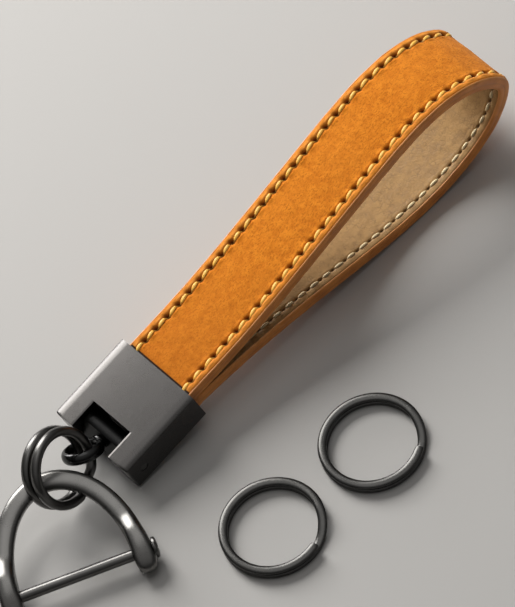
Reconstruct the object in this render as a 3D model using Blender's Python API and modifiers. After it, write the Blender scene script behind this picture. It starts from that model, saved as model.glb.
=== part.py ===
"""Leather keychain: a sewn strap loop in a metal clasp, with a swivel, a split ring and a screw-pin shackle.

Everything is in metres. The keychain lies on a table at z = 0 on the belly of its strap and the front edge of
its clasp. +X runs from the shackle to the loop, +Y across the strap, +Z up. The clasp and what hangs on it are
placed by a chain of empties, each on the axis about which the next piece moves.
"""

import math

import bmesh
import bpy
import numpy as np
from mathutils import Matrix, Vector

# Strap: two leather layers sewn together, painted on both edges and folded into a loop
STRAP_WIDTH = 0.0186
LAYER_THICKNESS = 0.00125
LAYER_GAP = 0.0003
CROWN = 0.0002
RUN_GAP = 0.0003
PAINT_THICKNESS = 0.0004
PAINT_GAP = 0.0002
SHOULDER = 0.0004
LOOP_LENGTH = 0.0900
LOOP_RISE_HEIGHT = 0.0065
LOOP_SAG_HEIGHT = 0.01705
MOUTH_STRAIGHT = 0.0022
STATION_STEP = 0.0050
BEND_STEP_DEG = 10.0

# Where the middle of the strap runs, as shares of the loop's reach and of its height from belly to top
LOOP_OUT_SHARES = (
    (0.096, 0.785), (0.185, 0.790), (0.273, 0.812), (0.361, 0.844), (0.449, 0.882), (0.536, 0.921),
)
LOOP_CREST_SHARES = ((0.624, 0.960), (0.712, 0.990), (0.800, 0.990), (0.886, 0.915), (0.959, 0.732))
LOOP_TIP_SHARES = ((1.0, 0.443), (0.948, 0.180), (0.868, 0.047), (0.780, 0.001))
LOOP_BACK_SHARES = (
    (0.692, 0.017), (0.605, 0.081), (0.520, 0.174), (0.436, 0.275), (0.352, 0.376), (0.267, 0.471),
)
LOOP_END_SHARES = ((0.181, 0.552), (0.094, 0.617))

# Stitching
STITCH_INSET = 0.0022
STITCH_PITCH = 0.0034
GROOVE_WIDTH = 0.0010
GROOVE_DEPTH = 0.0008
THREAD_DIAMETER = 0.0005
THREAD_CLEARANCE = 0.0001
STITCH_WAVE = 0.0003

# Clasp
CLASP_WIDTH = 0.0210
CLASP_LENGTH = 0.0200
CLASP_THICKNESS = 0.0090
CLASP_EDGE_RADIUS = 0.0016
POCKET_CLEARANCE = 0.0002
NOTCH_WIDTH = 0.0111
NOTCH_DEPTH = 0.0067
DIVIDER_WALL = 0.0023

# Screw that holds the two strap ends in the clasp
SCREW_RADIUS = 0.0010
SCREW_HEAD_RADIUS = 0.0019
SCREW_HEAD_HEIGHT = 0.0008
SCREW_RECESS = 0.0001
SCREW_TOP_BITE = 0.0006
SCREW_SLOT_WIDTH = 0.0005
SCREW_SLOT_DEPTH = 0.0004
SCREW_CLEARANCE = 0.0003

# Barrel that tilts in the notch, and its two stub axles
AXLE_FROM_FRONT = 0.0035
AXLE_RADIUS = 0.0009
AXLE_FIT = 0.0001
AXLE_IN_BARREL = 0.0023
BARREL_RADIUS = 0.00295
BARREL_SIDE_GAP = 0.0003
BARREL_FRONT_FLAT = 0.0021
BARREL_BACK_FLAT = 0.0025
BARREL_TURN_CLEARANCE = 0.0002

# Swivel eye: a headed stem through the barrel, ending in a round eye
STEM_RADIUS = 0.0012
STEM_CLEARANCE = 0.0002
STEM_HEAD_RADIUS = 0.0020
STEM_HEAD_HEIGHT = 0.0009
STEM_COLLAR_RADIUS = 0.0017
EYE_CENTRE = 0.0069
EYE_HOLE_HALF_LENGTH = 0.0029
EYE_HOLE_HALF_WIDTH = 0.00275
EYE_WIRE_RADIUS = 0.00075
EYE_LIFT_DEG = 30.5
EYE_ROLL_DEG = 57.7

# Split ring that joins the swivel eye and the shackle
RING_RADIUS = 0.0075
RING_WIRE_RADIUS = 0.0010
RING_COIL_GAP = 0.0006
RING_SEAT = 0.0004
RING_SWING_DEG = 7.2
RING_COIL_TURN_DEG = -47.0

# Loose split rings for the keys
KEY_RING_RADIUS = 0.0101
KEY_RING_WIRE_WIDTH = 0.0019
KEY_RING_WIRE_HEIGHT = 0.0011
KEY_RING_GAP = 0.0003

# Where the coil of a split ring steps from one layer to the next, and how finely it is drawn
COIL_STEP_HALF_DEG = 26.0
COIL_POINT_DEG = 15.0
COIL_TURNS = 2

# Shackle: an arched band with two lugs, closed by a screw pin
ARCH_HALF_WIDTH = 0.0139
ARCH_HEIGHT = 0.0208
BAND_WIDTH = 0.0040
BAND_HEIGHT = 0.0030
BAND_BEVEL = 0.0009
LUG_RADIUS = 0.0033
LUG_OVERHANG = 0.0012
LUG_LENGTH = 0.0043
LUG_EDGE = 0.0005
LUG_INNER_HALF_SPAN = 0.0119
SHACKLE_YAW_DEG = -26.0
BAND_HANG_DEG = 16.0
BAND_BELOW_RING_CENTRE = 0.00267

# Screw pin of the shackle
PIN_RADIUS = 0.0012
PIN_CLEARANCE = 0.0002
PIN_HEAD_RADIUS = 0.0023
PIN_HEAD_HEIGHT = 0.0009
PIN_SLOT_WIDTH = 0.0007
PIN_SLOT_DEPTH = 0.0005
PIN_HEAD_GAP = 0.0002
PIN_END_INSET = 0.0004

# Where the two loose rings lie, measured from the middle of the clasp's front edge
NEAR_KEY_RING_PLACE = (0.0113, -0.0391)
FAR_KEY_RING_PLACE = (0.0378, -0.0404)
NEAR_KEY_RING_TURN_DEG = -48.0
FAR_KEY_RING_TURN_DEG = -32.0

# Drawing
CUT_OVERRUN = 0.0010
ROUND_SIDES = 24
SMALL_SIDES = 16
EDGE_SEGMENTS = 4
SMALL_EDGE = 0.0002
SMOOTH_DEG = 35.0

# Worked out from the sizes above
POCKET_DEPTH = CLASP_LENGTH - NOTCH_DEPTH - DIVIDER_WALL
SCREW_FROM_MOUTH = POCKET_DEPTH / 2
RUN_THICKNESS = 2 * LAYER_THICKNESS + LAYER_GAP
RUN_OFFSET = RUN_GAP / 2 + RUN_THICKNESS / 2
FACE_LEVEL = RUN_THICKNESS / 2
STITCH_LINE = STRAP_WIDTH / 2 - STITCH_INSET
LEATHER_HALF_WIDTH = STRAP_WIDTH / 2 - PAINT_THICKNESS - PAINT_GAP
BARREL_LENGTH = NOTCH_WIDTH - 2 * BARREL_SIDE_GAP
BARREL_BORE_RADIUS = STEM_RADIUS + STEM_CLEARANCE
RING_COIL_PITCH = 2 * RING_WIRE_RADIUS + RING_COIL_GAP
KEY_RING_PITCH = KEY_RING_WIRE_HEIGHT + KEY_RING_GAP

PARTS = "leather_keychain"
CUTTERS = "cutters"


def clear_scene():
    for obj in list(bpy.data.objects):
        bpy.data.objects.remove(obj)
    for name in (PARTS, CUTTERS):
        bpy.context.scene.collection.children.link(bpy.data.collections.new(name))


def material(name, colour, roughness, metallic):
    made = bpy.data.materials.new(name)
    made.use_nodes = True
    shader = made.node_tree.nodes["Principled BSDF"]
    shader.inputs["Base Color"].default_value = (*colour, 1.0)
    shader.inputs["Roughness"].default_value = roughness
    shader.inputs["Metallic"].default_value = metallic
    made.diffuse_color = (*colour, 1.0)
    return made


def make_materials():
    return {
        "suede": material("suede", (0.72, 0.24, 0.02), 0.92, 0.0),
        "lining": material("lining", (0.45, 0.26, 0.105), 0.75, 0.0),
        "edge_paint": material("edge_paint", (0.68, 0.235, 0.04), 0.5, 0.0),
        "needle_thread": material("needle_thread", (0.88, 0.52, 0.10), 0.7, 0.0),
        "bobbin_thread": material("bobbin_thread", (0.84, 0.74, 0.52), 0.7, 0.0),
        "satin_gunmetal": material("satin_gunmetal", (0.07, 0.068, 0.066), 0.35, 1.0),
        "black_nickel": material("black_nickel", (0.08, 0.078, 0.075), 0.25, 1.0),
    }


def empty(name, parent=None, location=(0.0, 0.0, 0.0), rotation=(0.0, 0.0, 0.0)):
    made = bpy.data.objects.new(name, None)
    bpy.context.scene.collection.objects.link(made)
    made.parent = parent
    made.location = location
    made.rotation_euler = rotation
    made.empty_display_size = CLASP_THICKNESS
    return made


def add(obj, parent=None, finish=None, location=None, rotation=None, collection=PARTS):
    """Links an object to its collection and places it on its parent."""
    bpy.data.collections[collection].objects.link(obj)
    obj.parent = parent
    if location is not None:
        obj.location = location
    if rotation is not None:
        obj.rotation_euler = rotation
    if finish is not None:
        obj.data.materials.append(finish)
    if collection == CUTTERS:
        obj.hide_render = True
        obj.display_type = "WIRE"
    return obj


def mesh_object(name, bm):
    bmesh.ops.recalc_face_normals(bm, faces=bm.faces)
    mesh = bpy.data.meshes.new(name)
    bm.to_mesh(mesh)
    bm.free()
    mesh.shade_smooth()
    mesh.set_sharp_from_angle(angle=math.radians(SMOOTH_DEG))
    return bpy.data.objects.new(name, mesh)


def turn_to(axis):
    """The matrix that lays a thing drawn along Z along X or Y instead."""
    if axis == "X":
        return Matrix.Rotation(math.radians(90.0), 4, "Y")
    if axis == "Y":
        return Matrix.Rotation(math.radians(-90.0), 4, "X")
    return Matrix.Identity(4)


def cylinder_mesh(bm, radius, start, end, axis="Z", sides=ROUND_SIDES, centre=(0.0, 0.0, 0.0)):
    """A round bar along an axis, from start to end on it."""
    middle = Matrix.Translation(Vector((0.0, 0.0, (start + end) / 2)))
    matrix = Matrix.Translation(Vector(centre)) @ turn_to(axis) @ middle
    made = bmesh.ops.create_cone(bm, cap_ends=True, segments=sides, radius1=radius, radius2=radius,
                                 depth=end - start, matrix=matrix)
    return made["verts"]


def cylinder(name, radius, start, end, axis="Z", sides=ROUND_SIDES, centre=(0.0, 0.0, 0.0)):
    bm = bmesh.new()
    cylinder_mesh(bm, radius, start, end, axis, sides, centre)
    return mesh_object(name, bm)


def box(name, low, high):
    """A box between two corners."""
    bm = bmesh.new()
    size = Vector(high) - Vector(low)
    middle = (Vector(high) + Vector(low)) / 2
    bmesh.ops.create_cube(bm, size=1.0, matrix=Matrix.Translation(middle) @ Matrix.Diagonal((*size, 1.0)))
    return mesh_object(name, bm)


def boolean(target, other, operation="DIFFERENCE"):
    """Cuts or joins target with another mesh, which is kept as a hidden helper."""
    modifier = target.modifiers.new(other.name, "BOOLEAN")
    modifier.object = other
    modifier.operation = operation
    modifier.solver = "EXACT"


def cut(target, cutter, parent):
    add(cutter, parent, collection=CUTTERS)
    boolean(target, cutter)


def join(target, helper, parent):
    add(helper, parent, collection=CUTTERS)
    boolean(target, helper, "UNION")


def bevel(obj, width, segments=1):
    modifier = obj.modifiers.new("edges", "BEVEL")
    modifier.width = width
    modifier.segments = segments
    modifier.limit_method = "ANGLE"
    modifier.angle_limit = math.radians(SMOOTH_DEG)


def smooth_points(points, per_span=12):
    """A smooth curve that passes through the points, with equal knots."""
    p = np.array(points, float)
    p = np.vstack([2 * p[0] - p[1], p, 2 * p[-1] - p[-2]])
    found = []
    for i in range(1, len(p) - 2):
        for t in np.arange(per_span) / per_span:
            a = 2 * p[i]
            b = p[i + 1] - p[i - 1]
            c = 2 * p[i - 1] - 5 * p[i] + 4 * p[i + 1] - p[i + 2]
            d = 3 * p[i] - p[i - 1] - 3 * p[i + 1] + p[i + 2]
            found.append((a + b * t + c * t**2 + d * t**3) / 2)
    found.append(p[-2])
    return np.array(found)


def strap_middle():
    """The middle of the strap's thickness in the clasp's frame: out along the top run, round and back."""
    height = LOOP_RISE_HEIGHT + LOOP_SAG_HEIGHT
    shares = (*LOOP_OUT_SHARES, *LOOP_CREST_SHARES, *LOOP_TIP_SHARES, *LOOP_BACK_SHARES, *LOOP_END_SHARES)
    loop = [(x * LOOP_LENGTH, z * height - LOOP_SAG_HEIGHT) for x, z in shares]
    start = POCKET_CLEARANCE - POCKET_DEPTH
    along_mouth = (start, start / 2, 0.0, MOUTH_STRAIGHT)
    top = [(x, RUN_OFFSET) for x in along_mouth]
    bottom = [(x, -RUN_OFFSET) for x in reversed(along_mouth)]
    return smooth_points([*top, *loop, *bottom])


def along(path):
    """How far along the path each of its points lies."""
    return np.concatenate([[0.0], np.cumsum(np.linalg.norm(np.diff(path, axis=0), axis=1))])


def at(path, distance):
    """The point at a distance along the path, and the direction out of the loop there."""
    lengths = along(path)
    place = np.array([np.interp(distance, lengths, path[:, k]) for k in range(2)])
    reach = STITCH_PITCH / 2
    ahead = [np.interp(distance + reach, lengths, path[:, k]) for k in range(2)]
    behind = [np.interp(distance - reach, lengths, path[:, k]) for k in range(2)]
    tangent = np.array(ahead) - np.array(behind)
    tangent /= np.linalg.norm(tangent)
    return place, np.array([-tangent[1], tangent[0]])


def stations(path):
    """Points along the path that are close together where it bends and further apart where it is straight."""
    found = [path[0]]
    walked = 0.0
    turned = 0.0
    for before, here, after in zip(path, path[1:], path[2:]):
        step, following = here - before, after - here
        walked += np.linalg.norm(step)
        cross = step[0] * following[1] - step[1] * following[0]
        turned += abs(math.atan2(cross, step @ following))
        if walked >= STATION_STEP or turned >= math.radians(BEND_STEP_DEG):
            found.append(here)
            walked, turned = 0.0, 0.0
    if np.linalg.norm(path[-1] - found[-1]) < STATION_STEP / 2:
        found.pop()
    found.append(path[-1])
    return np.array(found)


def flat_curve(name, points, closed):
    """A 2D poly curve through the points."""
    data = bpy.data.curves.new(name, "CURVE")
    data.dimensions = "2D"
    data.fill_mode = "NONE"
    spline = data.splines.new("POLY")
    spline.points.add(len(points) - 1)
    for point, (x, y) in zip(spline.points, points):
        point.co = (x, y, 0.0, 1.0)
    spline.use_cyclic_u = closed
    return data


def welded_mesh(obj, name):
    """The evaluated curve as a mesh whose caps are joined to its sides. It takes the curve's place."""
    bpy.context.view_layer.update()
    evaluated = obj.evaluated_get(bpy.context.evaluated_depsgraph_get())
    bm = bmesh.new()
    bm.from_mesh(bpy.data.meshes.new_from_object(evaluated))
    bmesh.ops.remove_doubles(bm, verts=bm.verts, dist=THREAD_CLEARANCE / 4)
    made = mesh_object(name, bm)
    made.matrix_world = obj.matrix_world.copy()
    bpy.data.objects.remove(obj)
    return made


def swept(name, path, section, upright):
    """A section of (left of the path, across) points swept along a flat path, as one mesh."""
    turned = [(-left, across) for left, across in section]
    profile = bpy.data.objects.new(name + "_section", flat_curve(name + "_section", turned, True))
    add(profile, collection=CUTTERS)
    data = flat_curve(name + "_path", path, False)
    data.bevel_mode = "OBJECT"
    data.bevel_object = profile
    data.use_fill_caps = True
    obj = bpy.data.objects.new(name + "_path", data)
    bpy.context.scene.collection.objects.link(obj)
    if upright:
        obj.rotation_euler = (math.radians(90.0), 0.0, 0.0)
    made = welded_mesh(obj, name)
    mesh = made.data
    mesh.transform(made.matrix_world)
    made.matrix_world = Matrix.Identity(4)
    return made


def mirrored(half):
    """A closed section from the points of its half at positive y."""
    return [*half, *[(out, -y) for out, y in reversed(half)]]


def layer_section(side, crown):
    """A leather layer's section. Side is 1 for the outer layer and -1 for the lining."""
    inner = LAYER_GAP / 2
    face = FACE_LEVEL
    floor = face - GROOVE_DEPTH
    lip = GROOVE_WIDTH / 2
    foot = THREAD_DIAMETER / 2 + THREAD_CLEARANCE / 2
    half = [
        (face + crown, (STITCH_LINE - lip) / 2),
        (face, STITCH_LINE - lip),
        (floor, STITCH_LINE - foot),
        (floor, STITCH_LINE + foot),
        (face, STITCH_LINE + lip),
        (face, LEATHER_HALF_WIDTH - SHOULDER),
        (face - SHOULDER, LEATHER_HALF_WIDTH),
        (inner, LEATHER_HALF_WIDTH),
    ]
    return mirrored([(side * out, y) for out, y in half])


def make_strap(clasp, finishes):
    path = strap_middle()
    drawn = stations(path)
    outer = swept("strap_outer", drawn, layer_section(1, CROWN), True)
    add_ready(outer, clasp, finishes["suede"])
    lining = swept("strap_lining", drawn, layer_section(-1, 0.0), True)
    add_ready(lining, clasp, finishes["lining"])
    for side, where in ((-1, "near"), (1, "far")):
        # A section that is swept upright counts its second number towards -Y
        inside = -side * (LEATHER_HALF_WIDTH + PAINT_GAP)
        outside = -side * STRAP_WIDTH / 2
        flat = FACE_LEVEL - SHOULDER
        section = [(-flat, inside), (-flat / 2, outside), (flat / 2, outside), (flat, inside)]
        paint = swept("edge_paint_" + where, drawn, section, True)
        add_ready(paint, clasp, finishes["edge_paint"])
        make_thread("needle_thread_" + where, path, side, 1, clasp, finishes["needle_thread"])
        make_thread("bobbin_thread_" + where, path, side, -1, clasp, finishes["bobbin_thread"])
    return outer, lining


def add_ready(obj, parent, finish):
    """Links a mesh that is already drawn in its parent's frame."""
    obj.data.materials.clear()
    add(obj, parent, finish)


def make_thread(name, path, side, face, clasp, finish):
    """One thread of a row of stitches. It rises over each stitch and dips at each hole, inside its groove."""
    low = FACE_LEVEL - GROOVE_DEPTH + THREAD_CLEARANCE + THREAD_DIAMETER / 2
    count = int(along(path)[-1] / STITCH_PITCH)
    start = (along(path)[-1] - count * STITCH_PITCH) / 2
    points = []
    for k in range(2 * count):
        place, out = at(path, start + (k + 0.5) * STITCH_PITCH / 2)
        level = low + (STITCH_WAVE if k % 2 else 0.0)
        x, z = place + face * level * out
        points.append((x, side * STITCH_LINE, z))
    thread = wire(name, points, THREAD_DIAMETER / 2, 0)
    add(thread, clasp, finish)


def wire(name, points, radius, resolution, profile=None):
    """A tube with closed ends along the points, round or with the given section."""
    data = bpy.data.curves.new(name, "CURVE")
    data.dimensions = "3D"
    data.twist_mode = "Z_UP"
    spline = data.splines.new("POLY")
    spline.points.add(len(points) - 1)
    for point, place in zip(spline.points, points):
        point.co = (*place, 1.0)
    if profile is None:
        data.bevel_depth = radius
        data.bevel_resolution = resolution
    else:
        data.bevel_mode = "OBJECT"
        data.bevel_object = profile
    data.use_fill_caps = True
    return bpy.data.objects.new(name, data)


def clasp_pitch():
    """How far the clasp tips so that its front edge and the belly of the strap lie on one plane."""
    path = strap_middle()
    steepest = 0.0
    for distance in np.arange(0.0, along(path)[-1], STITCH_PITCH / 2):
        place, out = at(path, distance)
        x, z = place + (FACE_LEVEL + CROWN) * out
        if x > CLASP_LENGTH:
            steepest = max(steepest, math.atan2(-CLASP_THICKNESS / 2 - z, x + CLASP_LENGTH))
    return steepest


def make_clasp(clasp, finishes):
    """The die-cast clasp: a pocket behind for the strap ends, and a notch in front between two ears."""
    half_width, half_height = CLASP_WIDTH / 2, CLASP_THICKNESS / 2
    shell = box("clasp_shell", (-CLASP_LENGTH, -half_width, -half_height), (0.0, half_width, half_height))
    bm = bmesh.new()
    bm.from_mesh(shell.data)
    long_edges = [e for e in bm.edges if abs(e.verts[0].co.x - e.verts[1].co.x) > CLASP_LENGTH / 2]
    bmesh.ops.bevel(bm, geom=long_edges, offset=CLASP_EDGE_RADIUS, segments=EDGE_SEGMENTS, profile=0.5,
                    affect="EDGES")
    bm.to_mesh(shell.data)
    bm.free()
    add(shell, clasp, finishes["satin_gunmetal"])
    bevel(shell, SMALL_EDGE)
    pocket_half_width = STRAP_WIDTH / 2 + POCKET_CLEARANCE
    pocket_half_height = RUN_OFFSET + FACE_LEVEL + CROWN + POCKET_CLEARANCE
    pocket = box("pocket", (-POCKET_DEPTH, -pocket_half_width, -pocket_half_height),
                 (CUT_OVERRUN, pocket_half_width, pocket_half_height))
    cut(shell, pocket, clasp)
    notch = box("notch", (-CLASP_LENGTH - CUT_OVERRUN, -NOTCH_WIDTH / 2, -half_height - CUT_OVERRUN),
                (NOTCH_DEPTH - CLASP_LENGTH, NOTCH_WIDTH / 2, half_height + CUT_OVERRUN))
    cut(shell, notch, clasp)
    bore = cylinder("axle_bore", AXLE_RADIUS + AXLE_FIT, -half_width - CUT_OVERRUN, half_width + CUT_OVERRUN,
                    "Y", SMALL_SIDES, (AXLE_FROM_FRONT - CLASP_LENGTH, 0.0, 0.0))
    cut(shell, bore, clasp)
    return shell


def make_strap_screw(clasp, shell, leather, finishes):
    """A countersunk screw from the underside, through both strap ends and into the top wall."""
    bottom = -CLASP_THICKNESS / 2
    head_low = bottom + SCREW_RECESS
    head_top = head_low + SCREW_HEAD_HEIGHT
    top_wall = RUN_OFFSET + FACE_LEVEL + CROWN + POCKET_CLEARANCE
    tip = top_wall + SCREW_TOP_BITE
    place = (-SCREW_FROM_MOUTH, 0.0, 0.0)
    bm = bmesh.new()
    cone = Matrix.Translation(Vector((-SCREW_FROM_MOUTH, 0.0, (head_low + head_top) / 2)))
    bmesh.ops.create_cone(bm, cap_ends=True, segments=SMALL_SIDES, radius1=SCREW_HEAD_RADIUS,
                          radius2=SCREW_RADIUS, depth=SCREW_HEAD_HEIGHT, matrix=cone)
    screw = mesh_object("strap_screw", bm)
    add(screw, clasp, finishes["black_nickel"])
    shank_low = head_low + SCREW_HEAD_HEIGHT / 2
    shank = cylinder("screw_shank", SCREW_RADIUS, shank_low, tip, "Z", SMALL_SIDES, place)
    join(screw, shank, clasp)
    slot = box("screw_slot", (-SCREW_FROM_MOUTH - SCREW_HEAD_RADIUS - CUT_OVERRUN, -SCREW_SLOT_WIDTH / 2,
                              head_low - CUT_OVERRUN),
               (-SCREW_FROM_MOUTH + SCREW_HEAD_RADIUS + CUT_OVERRUN, SCREW_SLOT_WIDTH / 2,
                head_low + SCREW_SLOT_DEPTH))
    cut(screw, slot, clasp)
    hole_radius = SCREW_RADIUS + SCREW_CLEARANCE
    hole_low, hole_top = bottom - CUT_OVERRUN, tip + SCREW_RECESS
    hole = cylinder("screw_hole", hole_radius, hole_low, hole_top, "Z", SMALL_SIDES, place)
    cut(shell, hole, clasp)
    sink_bm = bmesh.new()
    sink_low = bottom - CUT_OVERRUN
    sink_top = head_top + SCREW_CLEARANCE
    slope = (SCREW_HEAD_RADIUS - SCREW_RADIUS) / SCREW_HEAD_HEIGHT
    low_radius = hole_radius + slope * (sink_top - sink_low)
    sink_middle = Matrix.Translation(Vector((-SCREW_FROM_MOUTH, 0.0, (sink_low + sink_top) / 2)))
    bmesh.ops.create_cone(sink_bm, cap_ends=True, segments=SMALL_SIDES, radius1=low_radius,
                          radius2=hole_radius, depth=sink_top - sink_low, matrix=sink_middle)
    cut(shell, mesh_object("screw_sink", sink_bm), clasp)
    for layer in leather:
        cut(layer, cylinder(layer.name + "_hole", hole_radius, -CLASP_THICKNESS, CLASP_THICKNESS, "Z",
                            SMALL_SIDES, place), clasp)


def make_barrel(tilt, clasp, finishes):
    """The barrel in the notch, with a stepped bore for the swivel stem, and its two stub axles."""
    half = BARREL_LENGTH / 2
    barrel = cylinder("swivel_barrel", BARREL_RADIUS, -half, half, "Y")
    add(barrel, tilt, finishes["black_nickel"])
    far = BARREL_RADIUS + CUT_OVERRUN
    wide = half + CUT_OVERRUN
    cut(barrel, box("barrel_front", (-far, -wide, -far), (-BARREL_FRONT_FLAT, wide, far)), tilt)
    cut(barrel, box("barrel_back", (BARREL_BACK_FLAT, -wide, -far), (far, wide, far)), tilt)
    cut(barrel, cylinder("stem_bore", BARREL_BORE_RADIUS, -far, far, "X", SMALL_SIDES), tilt)
    seat = BARREL_BACK_FLAT - STEM_HEAD_HEIGHT - 2 * STEM_CLEARANCE
    cut(barrel, cylinder("head_bore", STEM_HEAD_RADIUS + STEM_CLEARANCE, seat, far, "X", SMALL_SIDES), tilt)
    for side, where in ((-1, "near"), (1, "far")):
        inner = side * (half - AXLE_IN_BARREL)
        hole_end = side * (half + CUT_OVERRUN)
        hole = cylinder("axle_hole_" + where, AXLE_RADIUS + BARREL_TURN_CLEARANCE, min(inner, hole_end),
                        max(inner, hole_end), "Y", SMALL_SIDES)
        cut(barrel, hole, tilt)
        outer = side * (CLASP_WIDTH / 2 - SMALL_EDGE)
        start = inner + side * BARREL_TURN_CLEARANCE
        axle = cylinder("axle_" + where, AXLE_RADIUS, min(start, outer), max(start, outer), "Y", SMALL_SIDES)
        add(axle, clasp, finishes["black_nickel"], (AXLE_FROM_FRONT - CLASP_LENGTH, 0.0, 0.0))


def eye_outline():
    """The middle line of the oval eye."""
    length, width = EYE_HOLE_HALF_LENGTH + EYE_WIRE_RADIUS, EYE_HOLE_HALF_WIDTH + EYE_WIRE_RADIUS
    turns = [2 * math.pi * k / ROUND_SIDES for k in range(ROUND_SIDES)]
    return [(length * math.cos(t), 0.0, width * math.sin(t)) for t in turns]


def make_eye(eye, finishes):
    """The swivel eye: head, stem and collar turned in one piece with an oval eye."""
    loop = wire("eye_wire", eye_outline(), EYE_WIRE_RADIUS, 1)
    loop.data.splines[0].use_cyclic_u = True
    bpy.context.scene.collection.objects.link(loop)
    made = welded_mesh(loop, "swivel_eye")
    add(made, eye, finishes["black_nickel"])
    base = EYE_HOLE_HALF_LENGTH + EYE_WIRE_RADIUS
    front = EYE_CENTRE - BARREL_FRONT_FLAT - STEM_CLEARANCE
    back = EYE_CENTRE + BARREL_BACK_FLAT - STEM_CLEARANCE
    collar = cylinder("stem_collar", STEM_COLLAR_RADIUS, base, front, "X", SMALL_SIDES)
    stem = cylinder("stem", STEM_RADIUS, base, back - STEM_HEAD_HEIGHT / 2, "X", SMALL_SIDES)
    head = cylinder("stem_head", STEM_HEAD_RADIUS, back - STEM_HEAD_HEIGHT, back, "X", SMALL_SIDES)
    for helper in (collar, stem, head):
        join(made, helper, eye)
    return made


def coil_points(radius, pitch):
    """The middle line of a split ring: two flat turns, with one short step between them."""
    half_step = math.radians(COIL_STEP_HALF_DEG)
    whole = 2 * math.pi * COIL_TURNS
    count = int((whole - 2 * half_step) / math.radians(COIL_POINT_DEG))
    found = []
    for k in range(count + 1):
        angle = half_step + (whole - 2 * half_step) * k / count
        share = min(1.0, max(0.0, (angle - (2 * math.pi - half_step)) / (2 * half_step)))
        rise = share * share * (3 - 2 * share) - 0.5
        found.append((radius * math.cos(angle), radius * math.sin(angle), rise * pitch))
    return found


def make_connector_ring(swing, finishes):
    points = coil_points(RING_RADIUS, RING_COIL_PITCH)
    ring = wire("connector_ring", points, RING_WIRE_RADIUS, 2)
    turn = (0.0, 0.0, math.radians(RING_COIL_TURN_DEG))
    add(ring, swing, finishes["black_nickel"], (-RING_RADIUS, 0.0, 0.0), turn)
    return ring


def make_key_rings(front, finishes):
    """The two loose rings, each a flat coil that lies on the table."""
    section = bpy.data.objects.new("key_ring_section", flat_curve("key_ring_section", ellipse_points(), True))
    add(section, collection=CUTTERS)
    places = (
        (NEAR_KEY_RING_PLACE, NEAR_KEY_RING_TURN_DEG, "near"),
        (FAR_KEY_RING_PLACE, FAR_KEY_RING_TURN_DEG, "far"),
    )
    for (x, y), turn, where in places:
        points = coil_points(KEY_RING_RADIUS, KEY_RING_PITCH)
        ring = wire("key_ring_" + where, points, 0.0, 0, section)
        height = KEY_RING_PITCH / 2 + KEY_RING_WIRE_HEIGHT / 2
        add(ring, None, finishes["black_nickel"], (front + x, y, height), (0.0, 0.0, math.radians(turn)))


def ellipse_points():
    """The oval section of the loose rings' wire."""
    sides = SMALL_SIDES // 2
    turns = [-2 * math.pi * (k + 0.5) / sides for k in range(sides)]
    return [(KEY_RING_WIRE_WIDTH / 2 * math.cos(t), KEY_RING_WIRE_HEIGHT / 2 * math.sin(t)) for t in turns]


def arch_point(turn):
    """A point on the middle line of the shackle's band, half an ellipse over the middle of the pin."""
    return ARCH_HALF_WIDTH * math.sin(turn), ARCH_HEIGHT * math.cos(turn)


def shackle_frame(ring):
    """Places the shackle: its band hangs in the connector ring and its two lugs lie on the table."""
    bpy.context.view_layer.update()
    pivot_place = ring.matrix_world @ Vector((-RING_RADIUS, -BAND_BELOW_RING_CENTRE, 0.0))
    x, y = arch_point(math.radians(BAND_HANG_DEG))
    lift = math.asin((pivot_place.z - LUG_RADIUS) / (y + LUG_OVERHANG))
    pivot = empty("shackle_pivot", None, pivot_place, (lift, 0.0, math.radians(SHACKLE_YAW_DEG)))
    return empty("shackle_frame", pivot, (-x, -y, 0.0))


def make_shackle(frame, finishes):
    """The arched band swept along half an ellipse, with a lug on each end and a bore through both."""
    path = [arch_point(math.pi * (k / ROUND_SIDES - 0.5)) for k in range(ROUND_SIDES + 1)]
    w, h, c = BAND_WIDTH / 2, BAND_HEIGHT / 2, BAND_BEVEL
    corner = [(w, h - c), (w - c, h)]
    half = [*corner, *[(-x, y) for x, y in reversed(corner)]]
    section = [*half, *[(-x, -y) for x, y in half]]
    shackle = swept("shackle", path, section, False)
    add_ready(shackle, frame, finishes["black_nickel"])
    ends = LUG_INNER_HALF_SPAN + LUG_LENGTH
    for side, where in ((1, "near"), (-1, "far")):
        low, high = sorted((side * LUG_INNER_HALF_SPAN, side * ends))
        lug = cylinder("lug_" + where, LUG_RADIUS, low, high, "X")
        for vert in lug.data.vertices:
            if vert.co.y < -SMALL_EDGE:
                vert.co.y -= LUG_OVERHANG
        bevel(lug, LUG_EDGE, 2)
        join(shackle, lug, frame)
    far = ends + CUT_OVERRUN
    cut(shackle, cylinder("pin_bore", PIN_RADIUS + PIN_CLEARANCE, -far, far, "X", SMALL_SIDES), frame)
    return shackle


def make_shackle_pin(frame, finishes):
    """The screw pin: a plain bar with a slotted head outside the near lug."""
    ends = LUG_INNER_HALF_SPAN + LUG_LENGTH
    head_start = ends + PIN_HEAD_GAP
    head_end = head_start + PIN_HEAD_HEIGHT
    pin_low, pin_high = PIN_END_INSET - ends, head_start + PIN_HEAD_HEIGHT / 2
    pin = cylinder("shackle_pin", PIN_RADIUS, pin_low, pin_high, "X", SMALL_SIDES)
    add(pin, frame, finishes["black_nickel"])
    head = cylinder("pin_head", PIN_HEAD_RADIUS, head_start, head_end, "X", SMALL_SIDES)
    join(pin, head, frame)
    slot = box("pin_slot", (head_end - PIN_SLOT_DEPTH, -PIN_SLOT_WIDTH / 2, -PIN_HEAD_RADIUS - CUT_OVERRUN),
               (head_end + CUT_OVERRUN, PIN_SLOT_WIDTH / 2, PIN_HEAD_RADIUS + CUT_OVERRUN))
    cut(pin, slot, frame)


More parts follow.
